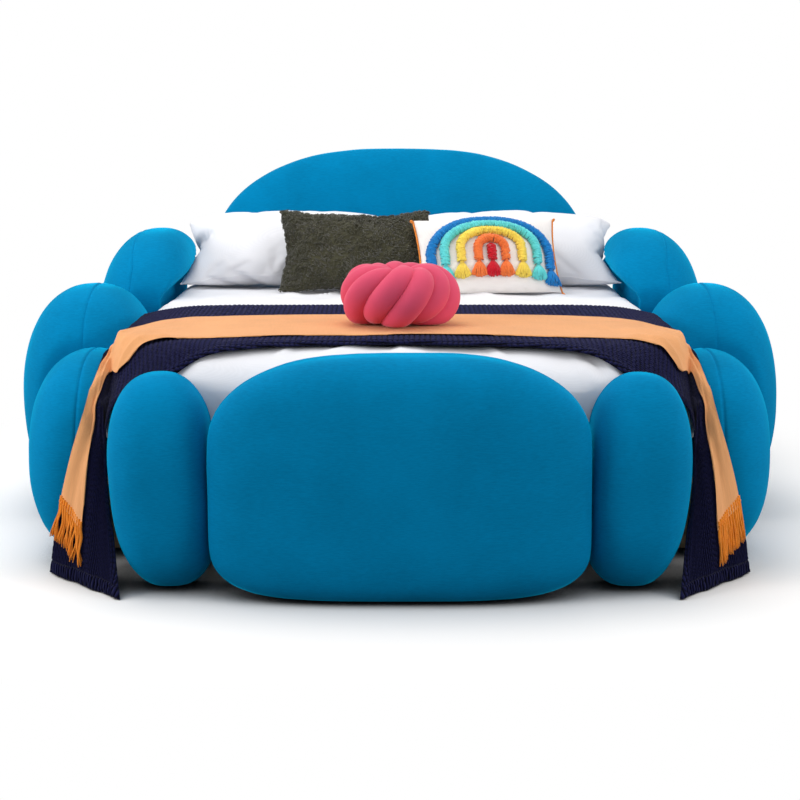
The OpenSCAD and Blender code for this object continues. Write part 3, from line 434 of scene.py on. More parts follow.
def plain(name, base, rough, metallic, grain, strength):
    n = material_nodes(name)
    fine = n.noise(grain, 3)
    broad = n.noise(25, 2)
    colour = n.ramp(broad, shade(base, 0.9), shade(base, 1.06))
    rough_value = n.maths("MULTIPLY_ADD", fine, 0.2, rough - 0.1)
    return n.done(colour, rough_value, n.bump(fine, strength, 0.0002), metallic=metallic)


# One stitch's width, height and slant, the half widths of its legs and beads, and the beads' share
STITCH_W, STITCH_H, STITCH_SLANT = 14.0, 14.0, 1.1
LEG_R, BEAD_R, BEAD_SHARE = 0.21, 0.46, 0.65
# One turn in radians, by which the wave texture's scale is less than its number of threads
WAVE_TURN = 6.28
VELVET = velvet()
COTTON = woven("white cotton", (0.80, 0.80, 0.83), 1500, 0.05, 0.85, 0.08, 0.12, 6)
TICKING = woven("ticking", (0.76, 0.74, 0.70), 700, 0.06, 0.9, 0.05, 0.4)
CANVAS = woven("canvas", (0.86, 0.815, 0.78), 800, 0.08, 0.9, 0.05, 0.45, 8)
LINEN = woven("orange linen", (0.85, 0.40, 0.165), 1000, 0.2, 0.9, 0.08, 0.5, 5, 1.3)
KNIT = knit("navy knit", (0.0065, 0.007, 0.029))
FUR = yarn("olive fur", (0.052, 0.050, 0.027), 0.55, 150, 0.35, 0.5)
PINK = plush("pink plush", (0.66, 0.08, 0.15))
FRINGE = yarn("orange yarn", (0.87, 0.27, 0.022), 0.3, 500, 0.2, 0.5)
BRAID = yarn("orange braid", (0.85, 0.28, 0.05), 0.25, 700, 0.15, 0.6)
TUFTS = {
    "red": yarn("red yarn", (0.60, 0.006, 0.02), 0.25),
    "orange": yarn("bright orange yarn", (0.92, 0.20, 0.045), 0.25),
    "yellow": yarn("yellow yarn", (1.0, 0.7, 0.1), 0.22),
    "teal": yarn("aqua yarn", (0.13, 0.68, 0.68), 0.25),
    "blue": yarn("blue yarn", (0.008, 0.21, 0.56), 0.25),
}

# Pods

# Middle in plan, half sizes, height of the top, and the powers that round it in plan, above and below
Pod = namedtuple("Pod", "x y half_w half_l top plan above below")
FOOT_CENTRE = Pod(0, FRONT_Y + 165, 484, 165, 598, 3.0, 2.75, 5.0)
FOOT_CORNER = Pod(INNER_X - 174, FRONT_Y + 253, 140, 170, 540, 2.5, 2.4, 2.4)
SIDE_FRONT = Pod(INNER_X + 72, FRONT_Y + 650, 162, 295, 541, 2.4, 2.35, 2.35)
SIDE_MIDDLE = Pod(INNER_X + 158, FRONT_Y + 1200, 201, 330, 666, 2.4, 2.3, 2.3)
SIDE_REAR = Pod(INNER_X + 38, FRONT_Y + 1850, 210, 425, 783, 2.4, 2.3, 2.3)
HEADBOARD = Pod(0, HEAD_Y + 55, 695, 135, 1034, 3.2, 2.6, 4.0)
CORNER_LEAN = 4
CREASE_FOOT, CREASE_FRONT, CREASE_REAR = 470, FRONT_Y + 915, FRONT_Y + 1485
PILLOW_W, PILLOW_D, PILLOW_TILT = 728, 420, 23.6
PILLOW_Y, PILLOW_Z = FRONT_Y + 2002, DUVET_TOP + 92
PRESS_R, COVER = 10, 1.6
# How far the rear pods and the headboard bulge in above the duvet, and the rise that it takes
BULGE, BULGE_R, BULGE_RISE = 85, 60, 110
HEAD_BULGE, HEAD_Z, HEAD_RISE = 200, DUVET_TOP + 23, 50
# Distance between a pod's grid lines, a seam's width, depth and side ridges, and the lines near it
POD_STEP, SEAM_W, SEAM_DEEP, SEAM_HIGH = 13, 6.5, 2.2, 1.0
SEAM_LINES = np.array([-1.2, -0.7, -0.35, -0.15, 0, 0.15, 0.35, 0.7, 1.2])


def pod_middle(pod):
    half = (pod.top - SOLE_Z + SOLE_CUT) / 2
    return pod.top - half, half


def roundness(pod, u, above):
    """How far out points lie, 1 on the pod's surface, by their shares of its half sizes."""
    e = np.where(above, pod.above, pod.below)
    plan = u[..., 0] ** pod.plan + u[..., 1] ** pod.plan
    return (plan ** (e / pod.plan) + u[..., 2] ** e) ** (1 / e)


def pod_stone(pod, seams):
    """Points and quads of a pod's rounded stone; seams are places from -1 to 1 for x and y."""
    middle, high = pod_middle(pod)
    half = np.array([pod.half_w, pod.half_l, high])
    counts = [2 * int(h / POD_STEP / 2) * 2 + 1 for h in half]
    xs, ys = (ball_lines(counts[k], seams[k], SEAM_W / half[k]) for k in range(2))
    box, quads = box_grid(xs, ys, ball_lines(counts[2]))
    n = roundness(pod, np.abs(box), box[:, 2] >= 0)
    points = box / n[:, None] * half
    outward = normals(points, quads)
    for axis in range(2):
        for at in seams[axis]:
            d = (box[:, axis] - at) / n * half[axis]
            d = np.where(np.abs(box[:, axis]) > 0.98, 99, d)
            groove = SEAM_HIGH * np.exp(-((np.abs(d) - 10) / 6) ** 2) - SEAM_DEEP * np.exp(-(d / 3) ** 2)
            points = points + outward * groove[:, None]
    return points, quads, middle


def pod(name, shape, seams, press, side, seed, lean=0):
    points, quads, middle = pod_stone(shape, seams)
    if lean:
        points = rotated(points, 1, lean)
    points = points + np.array([shape.x, shape.y, middle])
    x, y, z = press(*points.T)
    z = soft_above(z, SOLE_Z + 0.5, 4)
    points = np.stack([x * side, y, z], -1)
    if side < 0:
        quads = quads[:, ::-1]
    soft = fractal(points, 230, 2, seed) * 2.6 + fractal(points, 70, 2, seed + 9) * 0.5
    free = smooth((z - 20) / 60)
    points = points + normals(points, quads) * (soft * free)[:, None]
    obj = mesh_object(name, points, quads)
    finished(obj, VELVET, "root", name.replace("_pod", "_pad"))


# The covers reach just over the faces of the plywood cores, which the base is bolted to

def press_centre(x, y, z):
    x = soft_below(soft_above(x, -CREASE_FOOT, PRESS_R), CREASE_FOOT, PRESS_R)
    return x, soft_below(y, FOOT_Y + COVER, PRESS_R), z


def press_corner(x, y, z):
    return soft_above(x, CREASE_FOOT, PRESS_R), soft_below(y, FOOT_Y + COVER, PRESS_R), z


def press_front(x, y, z):
    return soft_above(x, INNER_X - COVER, PRESS_R), soft_below(y, CREASE_FRONT, PRESS_R), z


def press_middle(x, y, z):
    y = soft_below(soft_above(y, CREASE_FRONT, PRESS_R), CREASE_REAR, PRESS_R)
    return soft_above(x, INNER_X - COVER, PRESS_R), y, z


def beside_pillow(y, z):
    """Place that a rear pod bulges in to: least beside the pillow's ends, most above and below it."""
    tilt = math.radians(PILLOW_TILT)
    dy, dz = y - PILLOW_Y, z - PILLOW_Z
    v = (dy * math.cos(tilt) + dz * math.sin(tilt)) / (PILLOW_D / 2)
    off = np.abs(dz * math.cos(tilt) - dy * math.sin(tilt))
    swell = 30 * np.maximum(0, 1 - v * v) + 60 * smooth((off - 25) / 70)
    swell = swell + 60 * smooth((np.abs(v) - 1.02) / 0.5)
    return INNER_X - 11 - np.minimum(BULGE, 1.4 * swell)


def press_rear(x, y, z):
    y = soft_above(y, CREASE_REAR, PRESS_R)
    high = smooth((z - DUVET_TOP) / BULGE_RISE)
    low = mix(INNER_X - COVER, beside_pillow(y, z), high)
    return soft_above(x, low, mix(PRESS_R, BULGE_R, high)), y, z


def press_head(x, y, z):
    low = mix(HEAD_Y - COVER, HEAD_Y - HEAD_BULGE, smooth((z - HEAD_Z) / HEAD_RISE))
    return x, soft_above(y, low, PRESS_R), z


def make_pods():
    pod("foot_centre_pod", FOOT_CENTRE, ((), (0.14,)), press_centre, 1, 3)
    pod("headboard_pod", HEADBOARD, ((), (0.3,)), press_head, 1, 5)
    for side, word in SIDES:
        pod("foot_%s_pod" % word, FOOT_CORNER, ((), (0.14,)), press_corner, side, 11 + side, CORNER_LEAN)
        pod("%s_front_pod" % word, SIDE_FRONT, ((0.0,), ()), press_front, side, 21 + side)
        pod("%s_middle_pod" % word, SIDE_MIDDLE, ((-0.08,), ()), press_middle, side, 31 + side)
        pod("%s_rear_pod" % word, SIDE_REAR, ((0.30,), ()), press_rear, side, 41 + side)


# Mattress and duvet

# The duvet's corners, its thickness at the edges, and how softly it rounds off at the foot and sides
DUVET_CORNER, DUVET_THIN = 260, 12
FALL_FOOT, FALL_FRONT, FALL_REAR = 50, 7, 15


def square_points(n):
    k = 4 * np.arange(n) / n
    side = np.floor(k)
    f = np.sin(math.pi / 2 * (2 * (k - side) - 1))
    x = np.select([side == 0, side == 1, side == 2], [1 + 0 * f, -f, -1 + 0 * f], f)
    y = np.select([side == 0, side == 1, side == 2], [f, 1 + 0 * f, -f], -1 + 0 * f)
    return np.stack([x, y], -1)


def rect_ring(hx, hy, r, n):
    """Ring on a rectangle with rounded corners, in plan."""
    p = square_points(n) * (hx, hy)
    c = np.clip(p, (r - hx, r - hy), (hx - r, hy - r))
    d = p - c
    far = np.linalg.norm(d, axis=1, keepdims=True)
    return np.where(far > r, c + d * r / np.maximum(far, 1e-9), p)


def inside(x, y, hx, hy, r):
    dx, dy = np.abs(x) - (hx - r), np.abs(y) - (hy - r)
    return np.where((dx > 0) & (dy > 0), r - np.hypot(dx, dy), r - np.maximum(dx, dy))


def mattress_height(x, y):
    d = inside(x, y - MATTRESS_Y, MATTRESS_W / 2, MATTRESS_L / 2, MATTRESS_CORNER)
    e = MATTRESS_EDGE - np.clip(d, 0, MATTRESS_EDGE)
    return MATTRESS_TOP - MATTRESS_EDGE + np.sqrt(MATTRESS_EDGE ** 2 - e * e)


def duvet_height(x, y):
    d = np.maximum(inside(x, y - MATTRESS_Y, INNER_X, ROOM_L / 2, DUVET_CORNER), -40)
    sides = mix(FALL_FRONT, FALL_REAR, smooth((y - FOOT_Y - 850) / 700))
    fall = mix(FALL_FOOT, sides, smooth((y - FOOT_Y - 60) / 250))
    thin = MATTRESS_TOP + DUVET_THIN
    soft = thin + (DUVET_TOP - thin) * (1 - np.exp(-d / fall))
    return np.maximum(soft, mattress_height(x, y) + DUVET_THIN)


def rings_faces(count, n):
    """Quads of a closed shape from rings: its side, its flat bottom and its folded last ring."""
    start = (count - 1) * n
    mirror = lambda j: start + (3 * n // 4 - j) % n
    faces = grid_quads(count, n, True).tolist()
    for j in range(-n // 8, 3 * n // 8):
        f = [start + j % n, start + (j + 1) % n, mirror(j + 1), mirror(j)]
        f = list(dict.fromkeys(f))
        if len(f) > 2:
            faces.append(f)
    faces.append(list(range(n))[::-1])
    return faces


def bed_ring(half_w, half_l, corner, n, z):
    """Ring on a rounded rectangle round the mattress's middle, at a height."""
    ring = rect_ring(half_w, half_l, corner, n)
    return np.c_[ring[:, 0], ring[:, 1] + MATTRESS_Y, np.full(n, z)]


def make_mattress():
    n = 160
    half_w, half_l = MATTRESS_W / 2, MATTRESS_L / 2
    levels = [(30, MATTRESS_Z), (8, MATTRESS_Z + 3), (0, MATTRESS_Z + 14), (0, MATTRESS_Z + 30)]
    levels += [(0, z) for z in np.linspace(MATTRESS_Z + 60, MATTRESS_TOP - MATTRESS_EDGE - 10, 4)]
    for a in np.radians(np.linspace(0, 90, 9)):
        levels.append((MATTRESS_EDGE * (1 - math.cos(a)), MATTRESS_TOP - MATTRESS_EDGE * (1 - math.sin(a))))
    rings = []
    for inset, z in levels:
        rings.append(bed_ring(half_w - inset, half_l - inset, MATTRESS_CORNER - inset * 0.9, n, z))
    flat_w, corner = half_w - MATTRESS_EDGE, MATTRESS_CORNER - MATTRESS_EDGE * 0.9
    for k in (0.8, 0.6, 0.4, 0.2, 0.03):
        flat_l = half_l - MATTRESS_EDGE - flat_w * (1 - k)
        rings.append(bed_ring(flat_w * k, flat_l, corner * k, n, MATTRESS_TOP))
    obj = mesh_object("sprung_mattress", np.concatenate(rings), rings_faces(len(rings), n))
    finished(obj, TICKING, "root", "mattress")
    edge = Bunch()
    for z in (MATTRESS_Z + 22, MATTRESS_TOP - MATTRESS_EDGE):
        edge.tube(bed_ring(half_w - 1, half_l - 1, MATTRESS_CORNER, n, z), 2.2, 8, closed=True)
    finished(edge.made("mattress_tape"), COTTON, "root", None)


def duvet_wrinkles(x, y):
    """Soft unevenness of a filled duvet, with low ridges that run into the foot corners."""
    p = np.stack([x, y, np.zeros_like(x)], -1)
    puff = fractal(p, 240, 3, 70) * 5
    warp = np.stack([x + 90 * noise(p, 260, 5), y * 0.55 + 70 * noise(p, 200, 6), np.zeros_like(x)], -1)
    ridge = 1 - np.abs(fractal(warp, 150, 2, 77))
    return puff + 7 * smooth((ridge - 0.62) / 0.38) - 2


def corner_creases(x, y):
    """Creases where the duvet is tucked down between the foot pods."""
    corner = smooth((FOOT_Y + 110 - y) / 70) * np.exp(-((np.abs(x) - 520) / 100) ** 2)
    crease = 1 - np.abs(fractal(np.stack([x * 1.1 + y * 0.5, y * 0.35, np.zeros_like(x)], -1), 62, 2, 79))
    return 14 * corner * smooth((crease - 0.45) / 0.55)


def make_duvet():
    """Rings up the duvet's inside over the mattress's edge, down to the skirt's hem, and over its outside."""
    n = 320
    gap, under, out = 3.8, 0.9, TUCK - 1
    half_w, half_l = MATTRESS_W / 2, MATTRESS_L / 2
    rings = []
    for a in (90, 70, 45, 22.5, 0):
        c, s = math.cos(math.radians(a)), math.sin(math.radians(a))
        inset = MATTRESS_EDGE * (1 - c)
        z = MATTRESS_TOP - MATTRESS_EDGE * (1 - s) + under * s
        corner = MATTRESS_CORNER + gap - inset
        rings.append(bed_ring(half_w + gap * c - inset, half_l + gap * c - inset, corner, n, z))
    rings.append(np.c_[rings[-1][:, :2], np.full(n, SKIRT_Z + 3)])
    skirt = ((2, SKIRT_Z), (0, SKIRT_Z + 4), (0, 373), (0, 391), (0.5, MATTRESS_TOP - MATTRESS_EDGE - 2))
    top_start = (len(rings) + len(skirt)) * n
    edge = [(inset, 0) for inset in (3, 6, 10, 16, 24, 34, 46, 60, 76)]
    for inset, z in [*skirt, *edge]:
        corner = MATTRESS_CORNER + out + inset * 1.2
        rings.append(bed_ring(half_w + out - inset, half_l + out - inset, corner, n, z))
    for k in np.concatenate([np.linspace(0.87, 0.1, 46), [0.06, 0.03, 0.012, 0.004]]):
        rings.append(bed_ring(INNER_X * k, ROOM_L / 2 - INNER_X * (1 - k), DUVET_CORNER * k, n, 0))
    points = np.concatenate(rings)
    x, y = points[top_start:, 0], points[top_start:, 1]
    d = inside(x, y - MATTRESS_Y, INNER_X, ROOM_L / 2, DUVET_CORNER)
    uneven = duvet_wrinkles(x, y) * smooth(d / 70) + corner_creases(x, y) * smooth(d / 12)
    points[top_start:, 2] = duvet_height(x, y) + uneven
    obj = mesh_object("white_duvet", points, rings_faces(len(rings), n))
    finished(obj, COTTON, "root", "duvet")


# Cushions

BED_Z = DUVET_TOP + LAY_GAP
FUR_W, FUR_D, FUR_TILT, FUR_DRAW = 508, 310, 62, 0.06
RAINBOW_W, RAINBOW_D, RAINBOW_TILT, RAINBOW_YAW, RAINBOW_DRAW = 470, 282, 58, 10, 0.05
RAINBOW_FRONT, RAINBOW_BACK = 62, 55
CLOTH_FRAMES = 26


def vertex_values(mesh, name):
    values = np.empty(len(mesh.vertices) * 3)
    mesh.vertices.foreach_get(name, values)
    return values.reshape(-1, 3)


def crown(u, v, t, skew=0):
    return t * (1 + skew * v) * np.maximum(0, (1 - u * u) * (1 - v * v)) ** 0.45


def drawn(u, v, w, d, draw):
    return w / 2 * u * (1 - draw * (1 - v * v)), d / 2 * v * (1 - draw * (1 - u * u))


def cushion_grid(nu, nv):
    """Places from -1 to 1, sides and quads of two panels that share their edge."""
    us, vs = (np.sin(np.linspace(-1, 1, count) * 1.35) / math.sin(1.35) for count in (nu, nv))
    u, v = (a.ravel() for a in np.meshgrid(us, vs, indexing="ij"))
    free = (np.abs(u) < 0.9999) & (np.abs(v) < 0.9999)
    back = np.arange(nu * nv)
    back[free] = nu * nv + np.arange(free.sum())
    q = grid_quads(nu, nv)
    quads = np.concatenate([q[:, ::-1], back[q]])
    face = np.concatenate([np.where(free, 1, 0), -np.ones(free.sum())])
    return np.concatenate([u, u[free]]), np.concatenate([v, v[free]]), face, quads


def stuffed(name, w, d, front, back, draw, pressure, cells, seed, skew=0, keep=0.75):
    """Points and quads of a cushion lying flat, blown up as cloth."""
    u, v, face, quads = cushion_grid(*cells)
    thick = np.where(face > 0, crown(u, v, front, skew), -crown(u, v, back))
    thick = np.where(face == 0, 0, thick)
    x, y = drawn(u, v, w, d, draw)
    target = np.stack([x, y, thick], -1)
    flat = np.stack([u * w / 2, v * d / 2, thick * 0.35], -1)
    flat[:, 2] += noise(flat, 45, seed) * 1.2
    obj = mesh_object(name + "_sewn", flat, quads)
    cloth = obj.modifiers.new("cloth", "CLOTH")
    s = cloth.settings
    s.quality, s.mass, s.air_damping = 6, 0.3, 2
    s.tension_stiffness = s.compression_stiffness = 25
    s.shear_stiffness, s.bending_stiffness = 8, 0.8
    s.use_pressure, s.uniform_pressure_force = True, pressure
    s.effector_weights.gravity = 0
    cloth.point_cache.frame_start, cloth.point_cache.frame_end = 1, CLOTH_FRAMES
    for f in range(1, CLOTH_FRAMES + 1):
        bpy.context.scene.frame_set(f)
    p = vertex_values(obj.evaluated_get(bpy.context.evaluated_depsgraph_get()).data, "co") / MM
    bpy.data.objects.remove(obj)
    bpy.context.scene.frame_set(1)
    p -= (p.max(0) + p.min(0)) / 2
    size = p.max(0) - p.min(0)
    p *= np.array([w, d, front + back]) / size
    p[:, 2] += (front - back) / 2
    if skew:
        p[:, 2] *= np.where(face > 0, 1 + skew * v, 1)
    return mix(target, p, keep), quads


def refined(obj):
    """Cuts each face of a mesh into four, rounded off."""
    m = obj.modifiers.new("fine", "SUBSURF")
    m.levels = m.render_levels = 1
    bpy.context.view_layer.objects.active = obj
    obj.select_set(True)
    bpy.ops.object.modifier_apply(modifier=m.name)
    obj.select_set(False)
    obj.data.shade_smooth()
    return obj


def laid(points, at, tilt, yaw=0):
    """Tilts a flat cushion, turns it and moves it."""
    p = rotated(points, 0, tilt)
    if yaw:
        p = rotated(p, 2, yaw)
    return p + np.asarray(at, float)


def leaning_z(deep, draw, tilt):
    """Height of the middle of a cushion that stands on its long edge and leans back."""
    return DUVET_TOP + deep / 2 * (1 - draw) * math.sin(math.radians(tilt)) - 1


def make_pillows():
    for side, word in SIDES:
        points, quads = stuffed(word, PILLOW_W, PILLOW_D, 122, 80, 0.09, 6, (72, 44), 4 + side, 0.5)
        points = laid(points, (side * (INNER_X - 18 - PILLOW_W / 2), PILLOW_Y, PILLOW_Z), PILLOW_TILT)
        points[:, 2] = soft_above(points[:, 2], BED_Z + 0.6, 5)
        obj = refined(mesh_object("%s_white_pillow" % word, points, quads))
        finished(obj, COTTON, "root", "%s_pillow" % word)


def make_fur():
    points, quads = stuffed("fur", FUR_W - 14, FUR_D - 14, 60, 50, FUR_DRAW, 5, (66, 42), 8, keep=0.25)
    points = laid(points, (-150, FRONT_Y + 1805, leaning_z(FUR_D, FUR_DRAW, FUR_TILT)), FUR_TILT)
    points[:, 2] = soft_above(points[:, 2], BED_Z + 3, 6)
    base = refined(mesh_object("fur_base", points, quads))
    p, out = vertex_values(base.data, "co") / MM, vertex_values(base.data, "normal")
    ridges = 1 - np.abs(fractal(p + 16 * fractal(p, 40, 2, 61)[:, None], 19, 2, 60))
    skin = p + out * (smooth((ridges - 0.5) * 2) * 4.0 + fractal(p, 90, 2, 62) * 3)[:, None]
    skin[:, 2] = np.maximum(skin[:, 2], BED_Z + 0.7)
    base.data.vertices.foreach_set("co", (skin * MM).ravel())
    base.data.update()
    finished(base, FUR, "fur", "fur_cushion")
    rng = np.random.default_rng(12)
    tufts = Bunch()
    for k in rng.choice(len(skin), 9500, replace=False):
        at, up = skin[k], out[k]
        flow = noise(at[None], 34, 66)[0] * 3.6 + noise(at[None], 13, 67)[0] * 1.2
        side = np.cross(up, (0.0, 0.3, 1.0))
        side /= max(np.linalg.norm(side), 1e-6)
        rise = np.cross(side, up)
        lean = side * math.cos(flow) + rise * math.sin(flow)
        long = rng.uniform(7, 12)
        bend = rng.uniform(0.7, 1.3)
        path = [at - up * 1.5, at + up * 1.8 + lean * long * 0.25,
                at + up * 2.8 * bend + lean * long * 0.65, at + up * 1.9 * bend + lean * long]
        if min(q[2] for q in path) >= BED_Z + 2:
            tufts.tube(path, (2.0, 1.9, 1.4, 0.4), 3, side)
    finished(tufts.made("fur_pile"), FUR, "fur", None)


def rainbow_place(p):
    z = leaning_z(RAINBOW_D, RAINBOW_DRAW, RAINBOW_TILT)
    return laid(p, (289, FRONT_Y + 1765, z), RAINBOW_TILT, RAINBOW_YAW)


def rainbow_height(x, y):
    v0 = y / (RAINBOW_D / 2)
    u = np.clip(x / (RAINBOW_W / 2 * (1 - RAINBOW_DRAW * (1 - v0 * v0))), -1, 1)
    v = np.clip(y / (RAINBOW_D / 2 * (1 - RAINBOW_DRAW * (1 - u * u))), -1, 1)
    return crown(u, v, RAINBOW_FRONT)


RAINBOW_BODY = "rainbow"
ARCH_WIDE, ARCH_RISE = 28, 44
# Arches from the outside in: the legs' ends, half width, height of the top, and colour
ARCHES = ((-62, 195, 112, "blue"), (-46, 153, 94, "teal"), (-39, 101, 69, "yellow"), (-36, 45, 39, "orange"))
BAR = (-36, 9, "red")
TASSEL_DROP, TASSEL_L, TASSEL_W = 4, 50, 27


def on_cushion(x, y, r):
    """Points at a distance from the rainbow cushion's front."""
    h = 0.5
    slope_x = (rainbow_height(x + h, y) - rainbow_height(x - h, y)) / (2 * h)
    slope_y = (rainbow_height(x, y + h) - rainbow_height(x, y - h)) / (2 * h)
    out = np.stack([-slope_x, -slope_y, np.ones_like(slope_x)], -1)
    out /= np.linalg.norm(out, axis=-1, keepdims=True)
    return np.stack([x, y, rainbow_height(x, y)], -1) + np.asarray(r)[..., None] * out


def arch_line(low, half, top):
    """Places along the middle of an arch: a straight leg, half an ellipse and a leg."""
    rise = min(ARCH_RISE, (top - low) * 0.45)
    legs = np.linspace(low, low + rise, 9)[:-1]
    t = np.radians(np.linspace(180, 0, 121))
    c, s = np.sign(np.cos(t)) * power(np.abs(np.cos(t)), 0.9), power(np.maximum(np.sin(t), 0), 0.9)
    x = np.concatenate([np.full(8, -half), half * c, np.full(8, half)])
    y = np.concatenate([legs, low + rise + (top - low - rise) * s, legs[::-1]])
    return np.stack([x, y], -1)


def even(line, step):
    """A line's points again, a step apart, with unit directions."""
    far = distances(line)
    at = np.linspace(0, far[-1], max(3, int(far[-1] / step)))
    points = np.stack([np.interp(at, far, line[:, k]) for k in range(line.shape[1])], -1)
    along = np.gradient(points, axis=0)
    return points, along / np.linalg.norm(along, axis=1, keepdims=True)


def yarn_band(name, line, rng):
    """A band of thick yarn loops that cross a line, tufted through the cushion's front."""
    band = Bunch()
    points, along = even(line, 2.8)
    side = np.stack([along[:, 1], -along[:, 0]], -1)
    t = np.radians(np.linspace(4, 176, 9))
    for k in range(len(points)):
        for layer in range(2):
            half = ARCH_WIDE / 2 * rng.uniform(0.9, 1.04) * (1 - 0.3 * layer)
            tall = rng.uniform(15, 18) + 2 * layer
            slant = rng.normal(0, 2.2)
            sideways = np.cos(t) * half + rng.normal(0, 0.8)
            forwards = slant * np.cos(t) + rng.normal(0, 0.8)
            p = points[k] + side[k] * sideways[:, None] + along[k] * forwards[:, None]
            q = rainbow_place(on_cushion(p[:, 0], p[:, 1], np.sin(t) ** 0.7 * tall + 1.0))
            band.tube(q, rng.uniform(1.8, 2.4), 6)
    return band.made(name)


def tassel(bunch, x, y, rng):
    """A bound neck and a full skirt of strands that spread over the cushion's front."""
    count = 46
    lean = 0.12 * max(0, x - 120)
    turn = np.linspace(0, 2 * math.pi, 15)
    ring = np.stack([np.cos(turn), 0 * turn, np.sin(turn)], -1) * 5.5
    for k in range(3):
        base = on_cushion(np.array([x + 0.0]), np.array([y + 2.0 - 2.2 * k]), 7.5)[0]
        bunch.tube(rainbow_place(base + ring), 1.5, 5, (0, 1, 0.3))
    t = np.linspace(0, 1, 9)
    for k in range(count):
        a = math.pi * (k + rng.uniform(-0.4, 0.4)) / (count - 1)
        reach = rng.uniform(0.45, 1) if k % 3 else 1
        wide, tall = math.cos(a) * TASSEL_W * reach, math.sin(a) * 15 * reach
        long = TASSEL_L * rng.uniform(0.92, 1.04) * (1 - 0.16 * (wide / TASSEL_W) ** 2)
        px = x + wide * t ** 0.6 + lean * t + 0.9 * np.sin(t * 8 + rng.uniform(0, 6))
        py = y - 2 - long * t
        r = 6 + tall * np.sin(math.pi * (0.08 + 0.72 * t)) - 2.5 * t
        bunch.tube(rainbow_place(on_cushion(px, py, np.maximum(r, 2.2))), np.linspace(2.0, 2.5, 9), 5)


def make_tufting(band_name, tassel_name, colour, line, places, low, rng):
    """A tufted band along a line, and tassels below it at the given places."""
    band = yarn_band(band_name, line, rng)
    finished(band, TUFTS[colour], RAINBOW_BODY, "rainbow_arches")
    ends = Bunch()
    for x in places:
        tassel(ends, x, low - TASSEL_DROP, rng)
    finished(ends.made(tassel_name), TUFTS[colour], RAINBOW_BODY, "rainbow_tassels")


def make_rainbow():
    u, v, face, quads = cushion_grid(141, 91)
    x, y = drawn(u, v, RAINBOW_W, RAINBOW_D, RAINBOW_DRAW)
    height = np.where(face > 0, crown(u, v, RAINBOW_FRONT), -crown(u, v, RAINBOW_BACK))
    points = np.stack([x, y, np.where(face == 0, 0, height)], -1)
    soft = fractal(points, 70, 3, 31) * 1.4
    to_edge = np.minimum(1 - np.abs(u), 1 - np.abs(v))
    pucker = noise(points, 22, 33) * 2.5 * smooth(1 - to_edge / 0.12)
    points = points + normals(points, quads) * ((soft + pucker) * (to_edge > 0.01))[:, None]
    points = rainbow_place(points)
    points[:, 2] = soft_above(points[:, 2], BED_Z + 0.6, 5)
    cushion = mesh_object("canvas_cushion", points, quads)
    finished(cushion, CANVAS, RAINBOW_BODY, "rainbow_cushion")
    rng = np.random.default_rng(5)
    for low, half, top, colour in ARCHES:
        names = "tufted_%s_arch" % colour, "%s_tassels" % colour
        make_tufting(*names, colour, arch_line(low, half, top), (-half, half), low, rng)
    low, top, colour = BAR
    names = "tufted_%s_bar" % colour, "%s_tassel" % colour
    make_tufting(*names, colour, np.array([[0.0, low], [0, top]]), (0,), low, rng)
    make_piping()


def make_piping():
    """Twisted cord along the two short sides, with a small loop at each corner."""
    braid = Bunch()
    for side in (-1, 1):
        v = np.linspace(-0.95, 0.95, 60)
        x, y = drawn(np.ones_like(v), v, RAINBOW_W, RAINBOW_D, RAINBOW_DRAW)
        line = np.stack([side * (x + 3.6), y, np.zeros_like(v)], -1)
        for end in (0, 1):
            t = np.linspace(0, 1.6 * math.pi, 12)[1:]
            at, up = line[-end], 1 if end else -1
            round_x, round_y = side * 4 * (1 - np.cos(t)), up * 7 * np.sin(t / 1.6)
            loop = at + np.stack([round_x, round_y, 2 * np.sin(t)], -1)
            line = np.concatenate([line, loop]) if end else np.concatenate([loop[::-1], line])
        points, along = even(line, 2.5)
        a = np.cross(along, (0, 0, 1.0))
        a /= np.maximum(np.linalg.norm(a, axis=1, keepdims=True), 1e-6)
        b = np.cross(along, a)
        turn = np.arange(len(points)) * 2 * math.pi / 7
        for k in range(3):
            w = (turn + 2 * math.pi * k / 3)[:, None]
            strand = points + 1.5 * (a * np.cos(w) + b * np.sin(w))
            braid.tube(rainbow_place(strand), 1.7, 6)
    finished(braid.made("orange_side_cord"), BRAID, RAINBOW_BODY, "rainbow_piping")


# Knot cushion

KNOT_X, KNOT_Y, KNOT_Z = -5, FRONT_Y + 750, DUVET_TOP + KNIT_T + THROW_T + 3 * LAY_GAP
KNOT_H, KNOT_TUBE, KNOT_MID, KNOT_SWING = 165, 74, 79.5, 49.5
KNOT_ROUNDS, KNOT_WINDS = 3, 10


def make_knot():
    """One fat stuffed tube that runs three times round a ring and winds ten times through it."""
    steps, sides = ((900, 36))
    t = np.arange(steps) * 2 * math.pi / steps
    a, b = KNOT_WINDS * t, KNOT_ROUNDS * t
    weave = 1 + 0.2 * np.cos(KNOT_WINDS / 2 * t + 0.9) + 0.05 * np.cos(2 * t + 1) - 0.06
    swing = KNOT_SWING * weave
    r = KNOT_MID + swing * np.cos(a)
    path = np.stack([r * np.cos(b), r * np.sin(b), swing * np.sin(a)], -1)
    ring = np.stack([KNOT_MID * np.cos(b), KNOT_MID * np.sin(b), np.zeros(steps)], -1)
    p = tube_points(path, KNOT_TUBE / 2, sides, path - ring, True).reshape(-1, 3)
    p = p + (KNOT_X, KNOT_Y, KNOT_Z + KNOT_H / 2 - 3)
    p[:, 2] = soft_above(p[:, 2], KNOT_Z + 1, 9)
    obj = mesh_object("plush_knot", p, tube_faces(steps, sides, 0, True))
    finished(obj, PINK, "knot", "knot_cushion")


# Blanket and throw

NOTCH_Y = SIDE_FRONT.y - SIDE_FRONT.half_l
